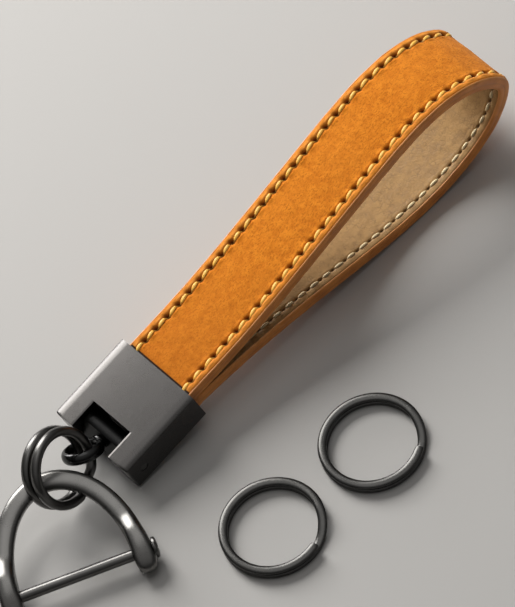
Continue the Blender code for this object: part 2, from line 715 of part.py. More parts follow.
def measured_corners():
    """The lowest and highest corner of all the parts, as they are evaluated."""
    bpy.context.view_layer.update()
    graph = bpy.context.evaluated_depsgraph_get()
    corners = []
    for obj in bpy.data.collections[PARTS].objects:
        evaluated = obj.evaluated_get(graph)
        mesh = evaluated.to_mesh()
        corners.extend(evaluated.matrix_world @ v.co for v in mesh.vertices)
        evaluated.to_mesh_clear()
    found = np.array([tuple(c) for c in corners])
    return found.min(axis=0), found.max(axis=0)


def centre_on_origin():
    """Moves everything so that the origin is below the middle of the parts, on the table."""
    low, high = measured_corners()
    shift = Vector(((low[0] + high[0]) / 2, (low[1] + high[1]) / 2, low[2]))
    for obj in bpy.data.objects:
        if obj.parent is None:
            obj.matrix_world = Matrix.Translation(-shift) @ obj.matrix_world
    bpy.context.view_layer.update()


def report_frames():
    """Prints where each joint's frame lies and which way its axes point."""
    for obj in bpy.data.objects:
        if obj.type == "EMPTY":
            axes = [[round(v, 6) for v in obj.matrix_world.col[k][:3]] for k in range(4)]
            print(obj.name, "x", axes[0], "y", axes[1], "z", axes[2], "at", axes[3])


def main():
    clear_scene()
    finishes = make_materials()
    pitch = clasp_pitch()
    height = CLASP_LENGTH * math.sin(pitch) + CLASP_THICKNESS / 2 * math.cos(pitch)
    front = CLASP_THICKNESS / 2 * math.sin(pitch) - CLASP_LENGTH * math.cos(pitch)
    clasp = empty("clasp_frame", None, (0.0, 0.0, height), (0.0, -pitch, 0.0))
    outer, lining = make_strap(clasp, finishes)
    shell = make_clasp(clasp, finishes)
    make_strap_screw(clasp, shell, (outer, lining), finishes)
    tilt = empty("barrel_frame", clasp, (AXLE_FROM_FRONT - CLASP_LENGTH, 0.0, 0.0),
                 (0.0, math.radians(EYE_LIFT_DEG), 0.0))
    make_barrel(tilt, clasp, finishes)
    eye = empty("eye_frame", tilt, (-EYE_CENTRE, 0.0, 0.0), (math.radians(EYE_ROLL_DEG), 0.0, 0.0))
    make_eye(eye, finishes)
    swing = empty("ring_frame", eye, (RING_SEAT, 0.0, 0.0), (0.0, math.radians(RING_SWING_DEG), 0.0))
    make_connector_ring(swing, finishes)
    frame = shackle_frame(swing)
    make_shackle(frame, finishes)
    make_shackle_pin(frame, finishes)
    make_key_rings(front, finishes)
    centre_on_origin()
    report_frames()


main()
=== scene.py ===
# %% [markdown]
# # A leather keychain
#
# A sewn leather strap loop sits in a metal clasp. A swivel, a split ring and a shackle hang from the clasp,
# and two loose split rings for keys lie beside it. The solid model gives every size and place. This lesson
# dresses it: each cell makes one piece or one finish, says how the real one is made, and why it is drawn
# this way.

# %% Load the solid model
from math import asin, copysign, cos, pi, radians, sin, sqrt
import bmesh
import bpy
import numpy as np
from mathutils import Matrix, Vector


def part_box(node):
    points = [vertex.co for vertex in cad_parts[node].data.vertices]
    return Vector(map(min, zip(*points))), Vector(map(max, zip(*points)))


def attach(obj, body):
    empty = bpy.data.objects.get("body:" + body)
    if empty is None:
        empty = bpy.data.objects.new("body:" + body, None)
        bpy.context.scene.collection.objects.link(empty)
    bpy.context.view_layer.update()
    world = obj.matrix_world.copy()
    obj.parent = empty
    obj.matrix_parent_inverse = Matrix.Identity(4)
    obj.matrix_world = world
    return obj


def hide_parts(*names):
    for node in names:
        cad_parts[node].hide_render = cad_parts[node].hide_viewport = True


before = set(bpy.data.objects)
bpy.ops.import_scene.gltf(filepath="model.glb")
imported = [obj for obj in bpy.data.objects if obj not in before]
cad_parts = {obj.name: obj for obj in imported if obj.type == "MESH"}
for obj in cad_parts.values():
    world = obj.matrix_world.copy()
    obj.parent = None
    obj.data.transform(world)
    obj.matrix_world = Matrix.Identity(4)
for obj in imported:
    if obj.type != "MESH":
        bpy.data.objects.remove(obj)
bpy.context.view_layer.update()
MM = 0.001


def mm(*lengths):
    """Lengths in metres from lengths in millimetres."""
    return [length * MM for length in lengths]


# %% [markdown]
# ## Camera
#
# The photograph looks down on the keychain from the near side with the camera rolled, and shows almost no
# perspective. A very long lens from far away gives that view, and it still works when other views move the
# camera.

# %% Camera
IMAGE_HEIGHT = 607
PIXELS_PER_MM = 4.95
LENS = 400.0
SENSOR = 36.0
FARTHEST_SEEN = 20.0
LOOKED_AT = np.array([7.385, 17.921, 8.0]) * MM
TO_RIGHT = np.array([0.71595, -0.66730, -0.20524])
TO_TOP = np.array([0.66071, 0.55263, 0.50801])
TO_CAMERA = np.array([-0.22557, -0.49931, 0.83654])


def placed(name, data):
    """An object with this data, put into the scene."""
    obj = bpy.data.objects.new(name, data)
    bpy.context.scene.collection.objects.link(obj)
    return obj


camera_data = bpy.data.cameras.new("camera")
camera_data.lens = LENS
camera_data.sensor_width = SENSOR
camera_data.clip_end = FARTHEST_SEEN
camera = placed("camera", camera_data)
far_away = LENS / SENSOR * IMAGE_HEIGHT / PIXELS_PER_MM * MM
seen_from = LOOKED_AT + far_away * TO_CAMERA
camera_matrix = Matrix.Identity(4)
for line in range(3):
    camera_matrix[line][:] = (TO_RIGHT[line], TO_TOP[line], TO_CAMERA[line], seen_from[line])
camera.matrix_world = camera_matrix
bpy.context.scene.camera = camera
bpy.context.scene.view_settings.view_transform = "Standard"
print("camera distance in m:", round(far_away, 3))

# %% [markdown]
# ## Writing a finish
#
# A finish is a small net of shader nodes. Written out link by link it hides its own sense, so a wrapper
# round one socket lets the maths read as maths: `1 - pits * 0.4` adds the Math nodes that it needs. Every
# other kind of node comes from one method, which sets the node's settings first and its inputs after that.


# %% A wrapper for shader maths
class Value:
    """One output of a finish's nodes. Arithmetic on it adds Math nodes."""

    def __init__(self, recipe, socket):
        self.recipe = recipe
        self.socket = socket

    def maths(self, operation, other, swapped=False):
        pair = (other, self) if swapped else (self, other)
        return self.recipe.node("ShaderNodeMath", {"operation": operation}, dict(enumerate(pair)))

    def __add__(self, other):
        return self.maths("ADD", other)

    def __radd__(self, other):
        return self.maths("ADD", other, True)

    def __sub__(self, other):
        return self.maths("SUBTRACT", other)

    def __rsub__(self, other):
        return self.maths("SUBTRACT", other, True)

    def __mul__(self, other):
        return self.maths("MULTIPLY", other)

    def __rmul__(self, other):
        return self.maths("MULTIPLY", other, True)


class Recipe:
    """The nodes of one finish, or of the sky."""

    def __init__(self, tree):
        self.tree = tree
        self.tree.nodes.clear()

    def node(self, kind, settings=None, inputs=None, output=0):
        made = self.tree.nodes.new(kind)
        for name, value in (settings or {}).items():
            setattr(made, name, value)
        for name, value in (inputs or {}).items():
            if isinstance(value, Value):
                self.tree.links.new(value.socket, made.inputs[name])
            else:
                made.inputs[name].default_value = value
        return Value(self, made.outputs[output]) if made.outputs else made

    def ramp(self, value, low, high):
        """0 below low, 1 above high, smooth between them."""
        return self.node("ShaderNodeMapRange", {"interpolation_type": "SMOOTHSTEP"},
                         {"Value": value, "From Min": low, "From Max": high})

    def mixed(self, share, first, second):
        """The first colour where share is 0 and the second where it is 1."""
        return self.node("ShaderNodeMix", {"data_type": "RGBA"}, {0: share, 6: first, 7: second}, output=2)

    def place(self):
        """Where a point of the piece is, in metres."""
        return self.node("ShaderNodeTexCoord", output="Object")

    def painted(self, name):
        """A value that the piece's mesh carries."""
        return self.node("ShaderNodeAttribute", {"attribute_name": name}, output="Fac")

    def noise(self, place, grain, detail=3.0, roughness=0.55):
        """Soft blotches, about one grain (in metres) wide."""
        return self.node("ShaderNodeTexNoise", None,
                         {"Vector": place, "Scale": 1.0 / grain, "Detail": detail, "Roughness": roughness})

    def patches(self, place, grain, low, high, detail=3.0, roughness=0.55):
        """Patches with soft borders: where the noise is low, 0, and where it is high, 1."""
        return self.ramp(self.noise(place, grain, detail, roughness), low, high)

    def stretched(self, place, stretch):
        return self.node("ShaderNodeMapping", None, {"Vector": place, "Scale": stretch})

    def bump(self, height, depth, strength, under=None):
        """Relief of a depth in metres, laid over the relief that is already there."""
        inputs = {"Height": height, "Distance": depth, "Strength": strength}
        if under is not None:
            inputs["Normal"] = under
        return self.node("ShaderNodeBump", None, inputs)

    def shader(self, sockets):
        made = self.node("ShaderNodeBsdfPrincipled", None, sockets)
        self.node("ShaderNodeOutputMaterial", None, {"Surface": made})


def start_finish(name):
    made = bpy.data.materials.new(name)
    made.use_nodes = True
    return made, Recipe(made.node_tree)


def tone(red, green, blue):
    """A colour as a socket takes it."""
    return (red, green, blue, 1.0)


print("shader helpers ready")

# %% [markdown]
# ## Light and floor
#
# A large softbox stands rather low beyond the keychain, and a lower panel under it. The clasp's top just
# misses mirroring them, so the top stays grey, while its rounded far edge and the wires mirror both as
# bright lines. A weak box straight above lights whatever metal lies flat. Polished metal shows its
# surroundings, so the sky is dim and darker near the horizon for reflections, and plain for everything
# else. The floor is one pale sheet.

# %% Sky
SKY_FILL, SKY_BACKGROUND = 0.11, 0.80
MIRRORED_HORIZON, MIRRORED_RISE = 0.03, 0.45
world = bpy.data.worlds.new("studio")
bpy.context.scene.world = world
world.use_nodes = True
sky = Recipe(world.node_tree)
direction = sky.node("ShaderNodeTexCoord", output="Generated")
height = sky.node("ShaderNodeSeparateXYZ", None, {"Vector": direction}, output="Z")
mirrored_sky = sky.ramp(height, 0.1, 1.0) * MIRRORED_RISE + MIRRORED_HORIZON
path = {name: sky.node("ShaderNodeLightPath", output=name) for name in ("Is Camera Ray", "Is Glossy Ray")}
by_number = {"data_type": "FLOAT"}
fill = sky.node("ShaderNodeMix", by_number, {0: path["Is Glossy Ray"], 2: SKY_FILL, 3: mirrored_sky})
level = sky.node("ShaderNodeMix", by_number, {0: path["Is Camera Ray"], 2: fill, 3: SKY_BACKGROUND})
background = sky.node("ShaderNodeBackground", None, {"Color": tone(1.0, 0.99, 0.975), "Strength": level})
sky.node("ShaderNodeOutputWorld", None, {"Surface": background})
print("sky fill", SKY_FILL)

# %% Lamps
LAMP_DISTANCE = 0.80


def softbox(name, towards, width, height, radiance, colour):
    """A soft rectangular lamp that shines at the keychain from a direction."""
    data = bpy.data.lights.new(name, "AREA")
    data.shape = "RECTANGLE"
    data.size = width
    data.size_y = height
    data.energy = radiance * pi * width * height
    data.color = colour
    lamp = placed(name, data)
    ray = Vector(towards).normalized()
    lamp.location = Vector(LOOKED_AT) + ray * LAMP_DISTANCE
    lamp.rotation_euler = ray.to_track_quat("Z", "Y").to_euler()
    lamp.visible_camera = False


softbox("key_softbox", (0.11, 0.75, 0.65), 0.38, 0.38, 13.8, (1.0, 0.985, 0.96))
softbox("low_panel", (0.03, 0.955, 0.28), 0.38, 0.30, 15.6, (1.0, 0.99, 0.98))
softbox("top_softbox", (0.03, 0.10, 0.99), 0.54, 0.54, 1.1, (1.0, 0.99, 0.98))

# %% Floor
FLOOR_HALF = 1.5
floor_corners = [(x * FLOOR_HALF, y * FLOOR_HALF, 0.0) for x, y in ((-1, -1), (1, -1), (1, 1), (-1, 1))]
floor_mesh = bpy.data.meshes.new("floor")
floor_mesh.from_pydata(floor_corners, [], [(0, 1, 2, 3)])
floor = placed("floor", floor_mesh)
floor_paint, recipe = start_finish("floor_paint")
recipe.shader({"Base Color": tone(0.50, 0.49, 0.475), "Roughness": 0.9, "Specular IOR Level": 0.2})
floor_mesh.materials.append(floor_paint)
print("floor side in m:", 2 * FLOOR_HALF)

# %% [markdown]
# ## Leather finishes
#
# Suede is leather sanded until its fibres stand up. It has no gloss. Its colour breaks into soft blotches
# where the nap leans one way or the other. The mesh carries painted values that the finish mixes with:
# painted shade in the needle holes and along the thread's trough, a painted highlight on what stands
# proud, a darker stretch near the clasp, and a painted shadow on the strip where the strap goes into the
# clasp's mouth.


# %% Suede
def make_suede():
    finish, recipe = start_finish("tan_suede")
    place = recipe.place()
    lean = recipe.patches(place, 1.5 * MM, 0.34, 0.68, 4.0, 0.66)
    hairs = recipe.noise(recipe.stretched(place, (1.0, 1.7, 1.0)), 0.55 * MM, 3.0, 0.75)
    speckle = recipe.ramp(hairs, 0.50, 0.62)
    broad = recipe.patches(place, 11.0 * MM, 0.35, 0.65, 2.0)
    plain = recipe.mixed(lean, tone(0.630, 0.180, 0.008), tone(0.775, 0.252, 0.016))
    mottled = recipe.mixed(speckle * 0.90, plain, tone(0.46, 0.118, 0.004))
    worn = recipe.mixed(broad * 0.18, mottled, tone(0.76, 0.25, 0.022))
    # Darker towards the clasp.
    darker_near_clasp = recipe.mixed(recipe.painted("darker_near_clasp") * 0.45, worn, tone(0.40, 0.105, 0.006))
    # Painted highlight on the raised pillows and margins.
    ridge_highlit = recipe.mixed(recipe.painted("ridge_highlight") * 0.60, darker_near_clasp, tone(0.80, 0.33, 0.060))
    # Painted shade in the needle holes and along the thread's trough.
    pit_shaded = recipe.mixed(recipe.painted("pit"), ridge_highlit, tone(0.12, 0.028, 0.004))
    # Painted shadow, nearly black, where the strap goes into the clasp's mouth.
    wear_and_shadow = recipe.mixed(recipe.painted("mouth"), pit_shaded, tone(0.016, 0.007, 0.004))
    nap = recipe.noise(place, 0.16 * MM, 3.0, 0.7)
    soft = recipe.bump(nap, 0.045 * MM, 0.7, recipe.bump(lean, 0.05 * MM, 0.5))
    recipe.shader({"Base Color": wear_and_shadow, "Roughness": 0.94 - recipe.painted("ridge_highlight") * 0.16, "Normal": soft,
                   "Specular IOR Level": 0.18, "Sheen Weight": 0.14, "Sheen Roughness": 0.5,
                   "Sheen Tint": tone(1.0, 0.62, 0.30)})
    return finish


suede = make_suede()
print("suede nodes:", len(suede.node_tree.nodes))

# %% [markdown]
# The lining is smooth leather with an embossed grain: shallow cells, one to a millimetre, with fine creases
# between them. A Voronoi pattern, bent by noise so that no cell looks drawn with a ruler, gives the
# creases.

# %% Lining leather
CELLS_PER_METRE, BENDS_PER_METRE = 1050.0, 900.0
BEND = 1.4 * MM


def make_lining_leather():
    finish, recipe = start_finish("beige_lining")
    place = recipe.place()
    wobble = recipe.node("ShaderNodeTexNoise", None,
                         {"Vector": place, "Scale": BENDS_PER_METRE, "Detail": 2.0}, output="Color")
    bent = recipe.node("ShaderNodeVectorMath", {"operation": "MULTIPLY_ADD"},
                       {0: wobble, 1: (BEND, BEND, BEND), 2: place})
    cells = recipe.node("ShaderNodeTexVoronoi", {"feature": "DISTANCE_TO_EDGE"},
                        {"Vector": bent, "Scale": CELLS_PER_METRE})
    crease = (1.0 - recipe.ramp(cells, 0.0, 0.12)) * recipe.patches(place, 1.4 * MM, 0.42, 0.62, 2.0)
    streaks = recipe.patches(place, 2.2 * MM, 0.36, 0.66, 4.0, 0.65)
    base = recipe.mixed(streaks, tone(0.355, 0.200, 0.066), tone(0.455, 0.268, 0.098))
    creased = recipe.mixed(crease * 0.60, base, tone(0.21, 0.115, 0.04))
    # Painted shade in the needle holes, along the trough and in the dip of the lip.
    pit_shaded = recipe.mixed(recipe.painted("pit"), creased, tone(0.105, 0.062, 0.024))
    pores = recipe.bump(recipe.noise(place, 0.25 * MM), 0.02 * MM, 0.6)
    grain = recipe.bump(cells, 0.10 * MM, 0.55, pores)
    recipe.shader({"Base Color": pit_shaded, "Roughness": 0.62 + streaks * 0.12, "Normal": grain,
                   "Specular IOR Level": 0.4})
    return finish


lining_leather = make_lining_leather()
print("lining nodes:", len(lining_leather.node_tree.nodes))


# %% [markdown]
# The strap's cut edges are sanded round, then painted and burnished. The paint is thicker and glossier than
# the suede and a little uneven along its length, and a painted highlight runs along the bead where it meets
# the leather's face.

# %% Edge paint
def make_edge_paint():
    finish, recipe = start_finish("burnished_edge")
    place = recipe.place()
    uneven = recipe.patches(place, 3.0 * MM, 0.35, 0.65, 4.0)
    colour = recipe.mixed(uneven, tone(0.62, 0.200, 0.030), tone(0.75, 0.270, 0.052))
    # Painted highlight along the bead where the paint laps onto the leather.
    bead_highlit = recipe.mixed(recipe.painted("ridge_highlight") * 0.75, colour, tone(0.86, 0.44, 0.15))
    seam = recipe.mixed(recipe.painted("pit") * 0.22, bead_highlit, tone(0.26, 0.075, 0.014))
    ripple = recipe.bump(recipe.noise(place, 0.7 * MM), 0.06 * MM, 0.5)
    recipe.shader({"Base Color": seam, "Roughness": 0.38 + uneven * 0.12, "Normal": ripple,
                   "Specular IOR Level": 0.45})
    return finish


edge_paint = make_edge_paint()
print("edge paint nodes:", len(edge_paint.node_tree.nodes))


# %% [markdown]
# The thread is waxed polyester, three strands twisted together. Its mesh carries `twist`, which grows along
# the thread and round it, so that a wave of it draws the twist as fine slanted furrows, painted darker as
# shade falls in them. Where the thread dives into a hole, painted shade darkens it.

# %% Waxed thread
def make_thread_finish(name, light, dark):
    finish, recipe = start_finish(name)
    furrow = recipe.node("ShaderNodeMath", {"operation": "SINE"}, {0: recipe.painted("twist")}) * 0.5 + 0.5
    fibre = recipe.noise(recipe.place(), 0.09 * MM)
    # The darker tone in the twist's furrows is painted shade.
    colour = recipe.mixed(recipe.ramp(furrow, -0.5, 0.5), tone(*dark), tone(*light))
    # Painted shade where the thread dives into a hole.
    shaded = recipe.mixed(recipe.painted("pit"), colour, tone(*[0.35 * part for part in dark]))
    surface = recipe.bump(furrow + fibre * 0.5, 0.025 * MM, 0.6)
    recipe.shader({"Base Color": shaded, "Roughness": 0.42 + fibre * 0.2, "Normal": surface,
                   "Sheen Weight": 0.15, "Sheen Roughness": 0.4})
    return finish


golden_thread = make_thread_finish("golden_thread", (0.90, 0.50, 0.070), (0.70, 0.33, 0.030))
pale_thread = make_thread_finish("pale_thread", (0.80, 0.67, 0.40), (0.58, 0.44, 0.22))
print("thread finishes:", golden_thread.name, pale_thread.name)

# %% [markdown]
# ## Metal finishes
#
# The clasp is a zinc casting with a satin gunmetal plating. It is blasted before plating, so its
# reflections are wide and soft, and faint cloudy patches differ in gloss. The small fittings are plated in
# black nickel: the same recipe with a shallower grain, deeper polishing lines and more wear, each in its
# own tone. The shackle's lighter tone is painted light for the bright reflections along its band, and
# the barrel's near-black tone is painted shade for the notch it sits in. One table holds what differs.

# %% Plated metal
# Name: colour, roughness, depth of the blasting and of the polishing lines in mm, share of wear, cloudiness.
PLATINGS = {
    "satin_gunmetal_plating": ((0.067, 0.064, 0.062), 0.25, 0.006, 0.001, 0.008, 0.25),
    "black_nickel_plating": ((0.090, 0.088, 0.085), 0.26, 0.002, 0.002, 0.02, 1.0),
    # Painted light: a lighter copy of the black nickel, for the bright reflections along the shackle's band.
    "shackle_plating": ((0.130, 0.127, 0.122), 0.24, 0.002, 0.002, 0.02, 1.0),
    "key_ring_plating": ((0.055, 0.054, 0.052), 0.24, 0.002, 0.003, 0.03, 1.0),
    # Painted shade: nearly black, for the shade of the notch that the barrel sits in.
    "barrel_plating_in_shade": ((0.007, 0.007, 0.007), 0.30, 0.003, 0.003, 0.01, 1.0),
    "blackened_eye": ((0.036, 0.036, 0.036), 0.20, 0.002, 0.002, 0.02, 1.0),
}
BARE_METAL = (0.34, 0.335, 0.33)


def make_plating(name, colour, roughness, grain_depth, line_depth, wear, cloudiness):
    finish, recipe = start_finish(name)
    place = recipe.place()
    cloud = recipe.patches(place, 5.0 * MM, 0.35, 0.65) * cloudiness
    grain = recipe.noise(place, 0.10 * MM, 2.0)
    lines = recipe.noise(recipe.stretched(place, (1.0, 8.0, 8.0)), 0.6 * MM)
    wear_and_shadow = recipe.patches(place, 0.8 * MM, 0.60, 0.72, 4.0, 0.65)
    tint = recipe.mixed(cloud, tone(*colour), tone(*[1.14 * part for part in colour]))
    worn = recipe.mixed(wear_and_shadow * wear, tint, tone(*BARE_METAL))
    rough = roughness + cloud * 0.02 + grain * 0.03 + lines * 0.02
    surface = recipe.bump(grain, grain_depth * MM, 0.5, recipe.bump(lines, line_depth * MM, 0.5))
    recipe.shader({"Base Color": worn, "Metallic": 1.0, "Roughness": rough, "Normal": surface})
    return finish


satin_gunmetal, black_nickel, shackle_nickel, ring_nickel, barrel_in_shade, eye_black = [
    make_plating(name, *values) for name, values in PLATINGS.items()]
print("platings:", list(PLATINGS))

# %% [markdown]
# ## Places and meshes
#
# Each moving piece of the solid model is drawn in a frame of its own: where it is, and which way its axes
# point. The same frames are repeated here, so that a piece can be drawn straight and still land in place.
# Meshes are made in two ways: a row of rings joined by faces, and solids cut from each other.


# %% Frames of the moving pieces
def axes(x, y, z, at=(0.0, 0.0, 0.0)):
    """A frame from the directions of its axes and the place of its origin."""
    made = np.eye(4)
    made[:3] = np.stack([x, y, z, at], axis=1)
    return made


def moved(matrix, place):
    """The frame with its origin moved along its own axes."""
    return matrix @ axes((1, 0, 0), (0, 1, 0), (0, 0, 1), place)


def sideways(matrix, side, x=0.0):
    """The frame at a place on its X axis, with that axis turned to the far side (1) or the near side (-1)."""
    return matrix @ axes((0, side, 0), (-side, 0, 0), (0, 0, 1), (x, 0, 0))


def upright(matrix, x):
    """The frame at a place on its X axis, with that axis turned to point up."""
    return matrix @ axes((0, 0, 1), (0, 1, 0), (-1, 0, 0), (x, 0, 0))


def spun(matrix, degrees):
    """The frame turned round its Z axis."""
    t = radians(degrees)
    return matrix @ axes((cos(t), sin(t), 0), (-sin(t), cos(t), 0), (0, 0, 1))


SWIVEL_AXIS, SWIVEL_SIDE = (0.933796, 0.0, -0.357806), (0.302439, 0.534352, 0.789302)
CLASP = axes((0.986186, 0.0, 0.165642), (0.0, 1.0, 0.0), (-0.165642, 0.0, 0.986186),
             (-0.016639, 0.020437, 0.00775))
BARREL = axes(SWIVEL_AXIS, (0.0, 1.0, 0.0), (0.357806, 0.0, 0.933796), (-0.032911, 0.020437, 0.005017))
EYE = axes(SWIVEL_AXIS, SWIVEL_SIDE, (0.191194, -0.845262, 0.498976), (-0.039354, 0.020437, 0.007486))
RING = axes((0.90247, 0.105939, -0.417523), SWIVEL_SIDE, (0.306722, -0.838597, 0.450197),
            (-0.038981, 0.020437, 0.007343))
SHACKLE = axes((0.898794, -0.438371, 0.0), (0.425657, 0.872727, 0.239089), (-0.10481, -0.214891, 0.970998),
               (-0.058511, 0.002445, 0.003586))
print("frames for clasp, barrel, eye, ring and shackle")


# %% Mesh helpers
def in_world(matrix, points):
    points = np.asarray(points, float)
    return (points.reshape(-1, 3) @ matrix[:3, :3].T + matrix[:3, 3]).reshape(points.shape)


def ring_faces(rings, around, closed):
    """Four-sided faces between rings of points, and a cap on each end unless the row of rings is closed."""
    index = np.arange(rings * around).reshape(rings, around)
    here = index if closed else index[:-1]
    ahead = np.roll(index, -1, axis=0) if closed else index[1:]
    quads = np.stack([here, np.roll(here, -1, axis=1), np.roll(ahead, -1, axis=1), ahead], axis=-1)
    faces = quads.reshape(-1, 4).tolist()
    if not closed:
        faces.append(index[0, ::-1].tolist())
        faces.append(index[-1].tolist())
    return faces


def object_from(name, points, faces):
    """A piece from points and faces, with its faces turned outwards."""
    mesh = bpy.data.meshes.new(name)
    mesh.from_pydata(points.tolist(), [], faces)
    bm = bmesh.new()
    bm.from_mesh(mesh)
    bmesh.ops.recalc_face_normals(bm, faces=bm.faces)
    bm.to_mesh(mesh)
    bm.free()
    return placed(name, mesh)


def lofted(name, matrix, rings, closed=False):
    """A piece whose surface runs through rings of points."""
    points = in_world(matrix, rings)
    return object_from(name, points.reshape(-1, 3), ring_faces(*points.shape[:2], closed))


def paint(obj, name, values):
    """Lays one value on each point of a mesh, for its finish to read."""
    layer = obj.data.attributes.new(name, "FLOAT", "POINT")
    layer.data.foreach_set("value", np.asarray(values, np.float32).ravel())


def bake_shape(obj):
    """Turns the object's modifiers into plain mesh."""
    bpy.context.view_layer.update()
    graph = bpy.context.evaluated_depsgraph_get()
    made = bpy.data.meshes.new_from_object(obj.evaluated_get(graph), preserve_all_data_layers=True,
                                           depsgraph=graph)
    obj.modifiers.clear()
    obj.data = made


def carve(target, others, operation="DIFFERENCE"):
    """Cuts other solids out of target, or joins them to it."""
    for other in others:
        modifier = target.modifiers.new(other.name, "BOOLEAN")
        modifier.object = other
        modifier.operation = operation
        modifier.solver = "EXACT"
    bake_shape(target)
    for other in others:
        bpy.data.objects.remove(other)


def soften(obj, width, segments, harden=True):
    """Rounds the sharp edges a little, as plating and polishing leave them."""
    modifier = obj.modifiers.new("edges", "BEVEL")
    modifier.width = width
    modifier.segments = segments
    modifier.limit_method = "ANGLE"
    modifier.angle_limit = radians(32.0)
    modifier.use_clamp_overlap = True
    obj.data.shade_smooth()
    modifier.harden_normals = harden
    bake_shape(obj)


def dress(obj, finish, body, node, sharp=None):
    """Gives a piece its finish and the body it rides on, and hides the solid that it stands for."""
    obj.data.name = obj.name
    obj.data.materials.clear()
    obj.data.materials.append(finish)
    if sharp is not None:
        obj.data.shade_smooth()
        obj.data.set_sharp_from_angle(angle=radians(sharp))
    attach(obj, body)
    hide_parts(node)
    print(obj.name, "rides on", body, "with", len(obj.data.polygons), "faces")


def from_mm(profile, start=0.0):
    """A lathe profile of (along, radius) points, from millimetres and from where it starts."""
    return [(start + along * MM, radius * MM) for along, radius in profile]


def circle(steps):
    return 2 * pi * np.arange(steps) / steps


def turned(name, matrix, profile, sides=64):
    """A piece turned on a lathe round the frame's X axis, from its profile of (along, radius) points."""
    rings = [[(along, radius * cos(t), radius * sin(t)) for t in circle(sides)]
             for along, radius in profile]
    return lofted(name, matrix, rings)


def block(name, matrix, low, high):
    """A box between two corners, for cutting with."""
    (x0, y0, z0), (x1, y1, z1) = low, high
    points = [(x, y, z) for x in (x0, x1) for y in (y0, y1) for z in (z0, z1)]
    faces = [(0, 1, 3, 2), (4, 6, 7, 5), (0, 4, 5, 1), (2, 3, 7, 6), (0, 2, 6, 4), (1, 5, 7, 3)]
    return object_from(name, in_world(matrix, points), faces)


def eased(share):
    """Goes from 0 to 1 with a soft start and end, and stays level outside."""
    share = np.clip(share, 0.0, 1.0)
    return share * share * (3 - 2 * share)


print("mesh helpers ready")

# %% [markdown]
# ## The strap's path
#
# The strap is one long strip: out of the clasp along the top, round the tip of the loop and back
# underneath. Seen from the side it is a single smooth curve, given by a few points. The strip's surface is
# then drawn as a fine net: one direction runs along that curve, the other across the strap.

# %% Path of the strap
LOOP_REACH, LOOP_RISE, LOOP_SAG, MOUTH_STRAIGHT = 0.0900, 0.0065, 0.01705, 0.0022
LOOP_OUT = ((0.096, 0.785), (0.185, 0.790), (0.273, 0.812), (0.361, 0.844), (0.449, 0.882), (0.536, 0.921))
LOOP_CREST = ((0.624, 0.960), (0.712, 0.990), (0.800, 0.990), (0.886, 0.915), (0.959, 0.732))
LOOP_TIP = ((1.0, 0.443), (0.948, 0.180), (0.868, 0.047), (0.780, 0.001))
LOOP_BACK = ((0.692, 0.017), (0.605, 0.081), (0.520, 0.174), (0.436, 0.275), (0.352, 0.376), (0.267, 0.471))
LOOP_END = ((0.181, 0.552), (0.094, 0.617))
STRAP_WIDTH, HALF_STRAP, RUN_GAP = 0.0186, 0.0014, 0.0003
POCKET_START = -0.0108
PATH_STEP = 0.17 * MM
PER_SPAN = 60
FULL_SHAPE_FROM = 1.5 * MM


def smooth_curve(points):
    """A smooth curve through the points."""
    p = np.array(points, float)
    p = np.vstack([2 * p[0] - p[1], p, 2 * p[-1] - p[-2]])
    t = (np.arange(PER_SPAN) / PER_SPAN)[:, None]
    found = []
    for i in range(1, len(p) - 2):
        a = 2 * p[i]
        b = p[i + 1] - p[i - 1]
        c = 2 * p[i - 1] - 5 * p[i] + 4 * p[i + 1] - p[i + 2]
        d = 3 * p[i] - p[i - 1] - 3 * p[i + 1] + p[i + 2]
        found.append((a + b * t + c * t**2 + d * t**3) / 2)
    found.append(p[-2][None])
    return np.vstack(found)


def strap_path():
    """Even steps along the strap: the length walked, the places in the clasp's frame, and the way out."""
    height = LOOP_RISE + LOOP_SAG
    shares = (*LOOP_OUT, *LOOP_CREST, *LOOP_TIP, *LOOP_BACK, *LOOP_END)
    loop = [(x * LOOP_REACH, z * height - LOOP_SAG) for x, z in shares]
    mouth = (POCKET_START, POCKET_START / 2, 0.0, MOUTH_STRAIGHT)
    level = RUN_GAP / 2 + HALF_STRAP
    top = [(x, level) for x in mouth]
    bottom = [(x, -level) for x in reversed(mouth)]
    curve = smooth_curve([*top, *loop, *bottom])
    lengths = np.concatenate([[0.0], np.cumsum(np.linalg.norm(np.diff(curve, axis=0), axis=1))])
    walked = np.linspace(0.0, lengths[-1], int(lengths[-1] / PATH_STEP) + 1)
    middle = np.stack([np.interp(walked, lengths, curve[:, k]) for k in range(2)], axis=1)
    tangent = np.gradient(middle, axis=0)
    tangent /= np.linalg.norm(tangent, axis=1)[:, None]
    return walked, middle, np.stack([-tangent[:, 1], tangent[:, 0]], axis=1)


walked, middle, outward = strap_path()
print("strap length in mm:", round(walked[-1] / MM, 1), "stations:", len(walked))


# %% [markdown]
# Any point of the strap is then three numbers: how far along, how far across, and how far out of the middle
# of its thickness. Out is away from the loop's inside.

# %% From strap numbers to places
def on_strap(along, across, out):
    """Places of points given by distance along, across and out. All three are arrays of one shape."""
    x = np.interp(along, walked, middle[:, 0]) + out * np.interp(along, walked, outward[:, 0])
    z = np.interp(along, walked, middle[:, 1]) + out * np.interp(along, walked, outward[:, 1])
    return in_world(CLASP, np.stack([x, across, z], axis=-1))


SIDE = {"near": -1, "far": 1}
FIRST_HOLE = {"near": 3.1 * MM, "far": 0.2 * MM}
STITCH_LENGTH = {"near": 3.40 * MM, "far": 3.33 * MM}
STITCH_LINE = STRAP_WIDTH / 2 - 2.2 * MM


def stitches_before(along, row):
    """How many stitches of a row lie before a place, with the share of the stitch that it is in."""
    return (along - FIRST_HOLE[row]) / STITCH_LENGTH[row]


print("stitch rows lie", round(STITCH_LINE / MM, 2), "mm from the middle")

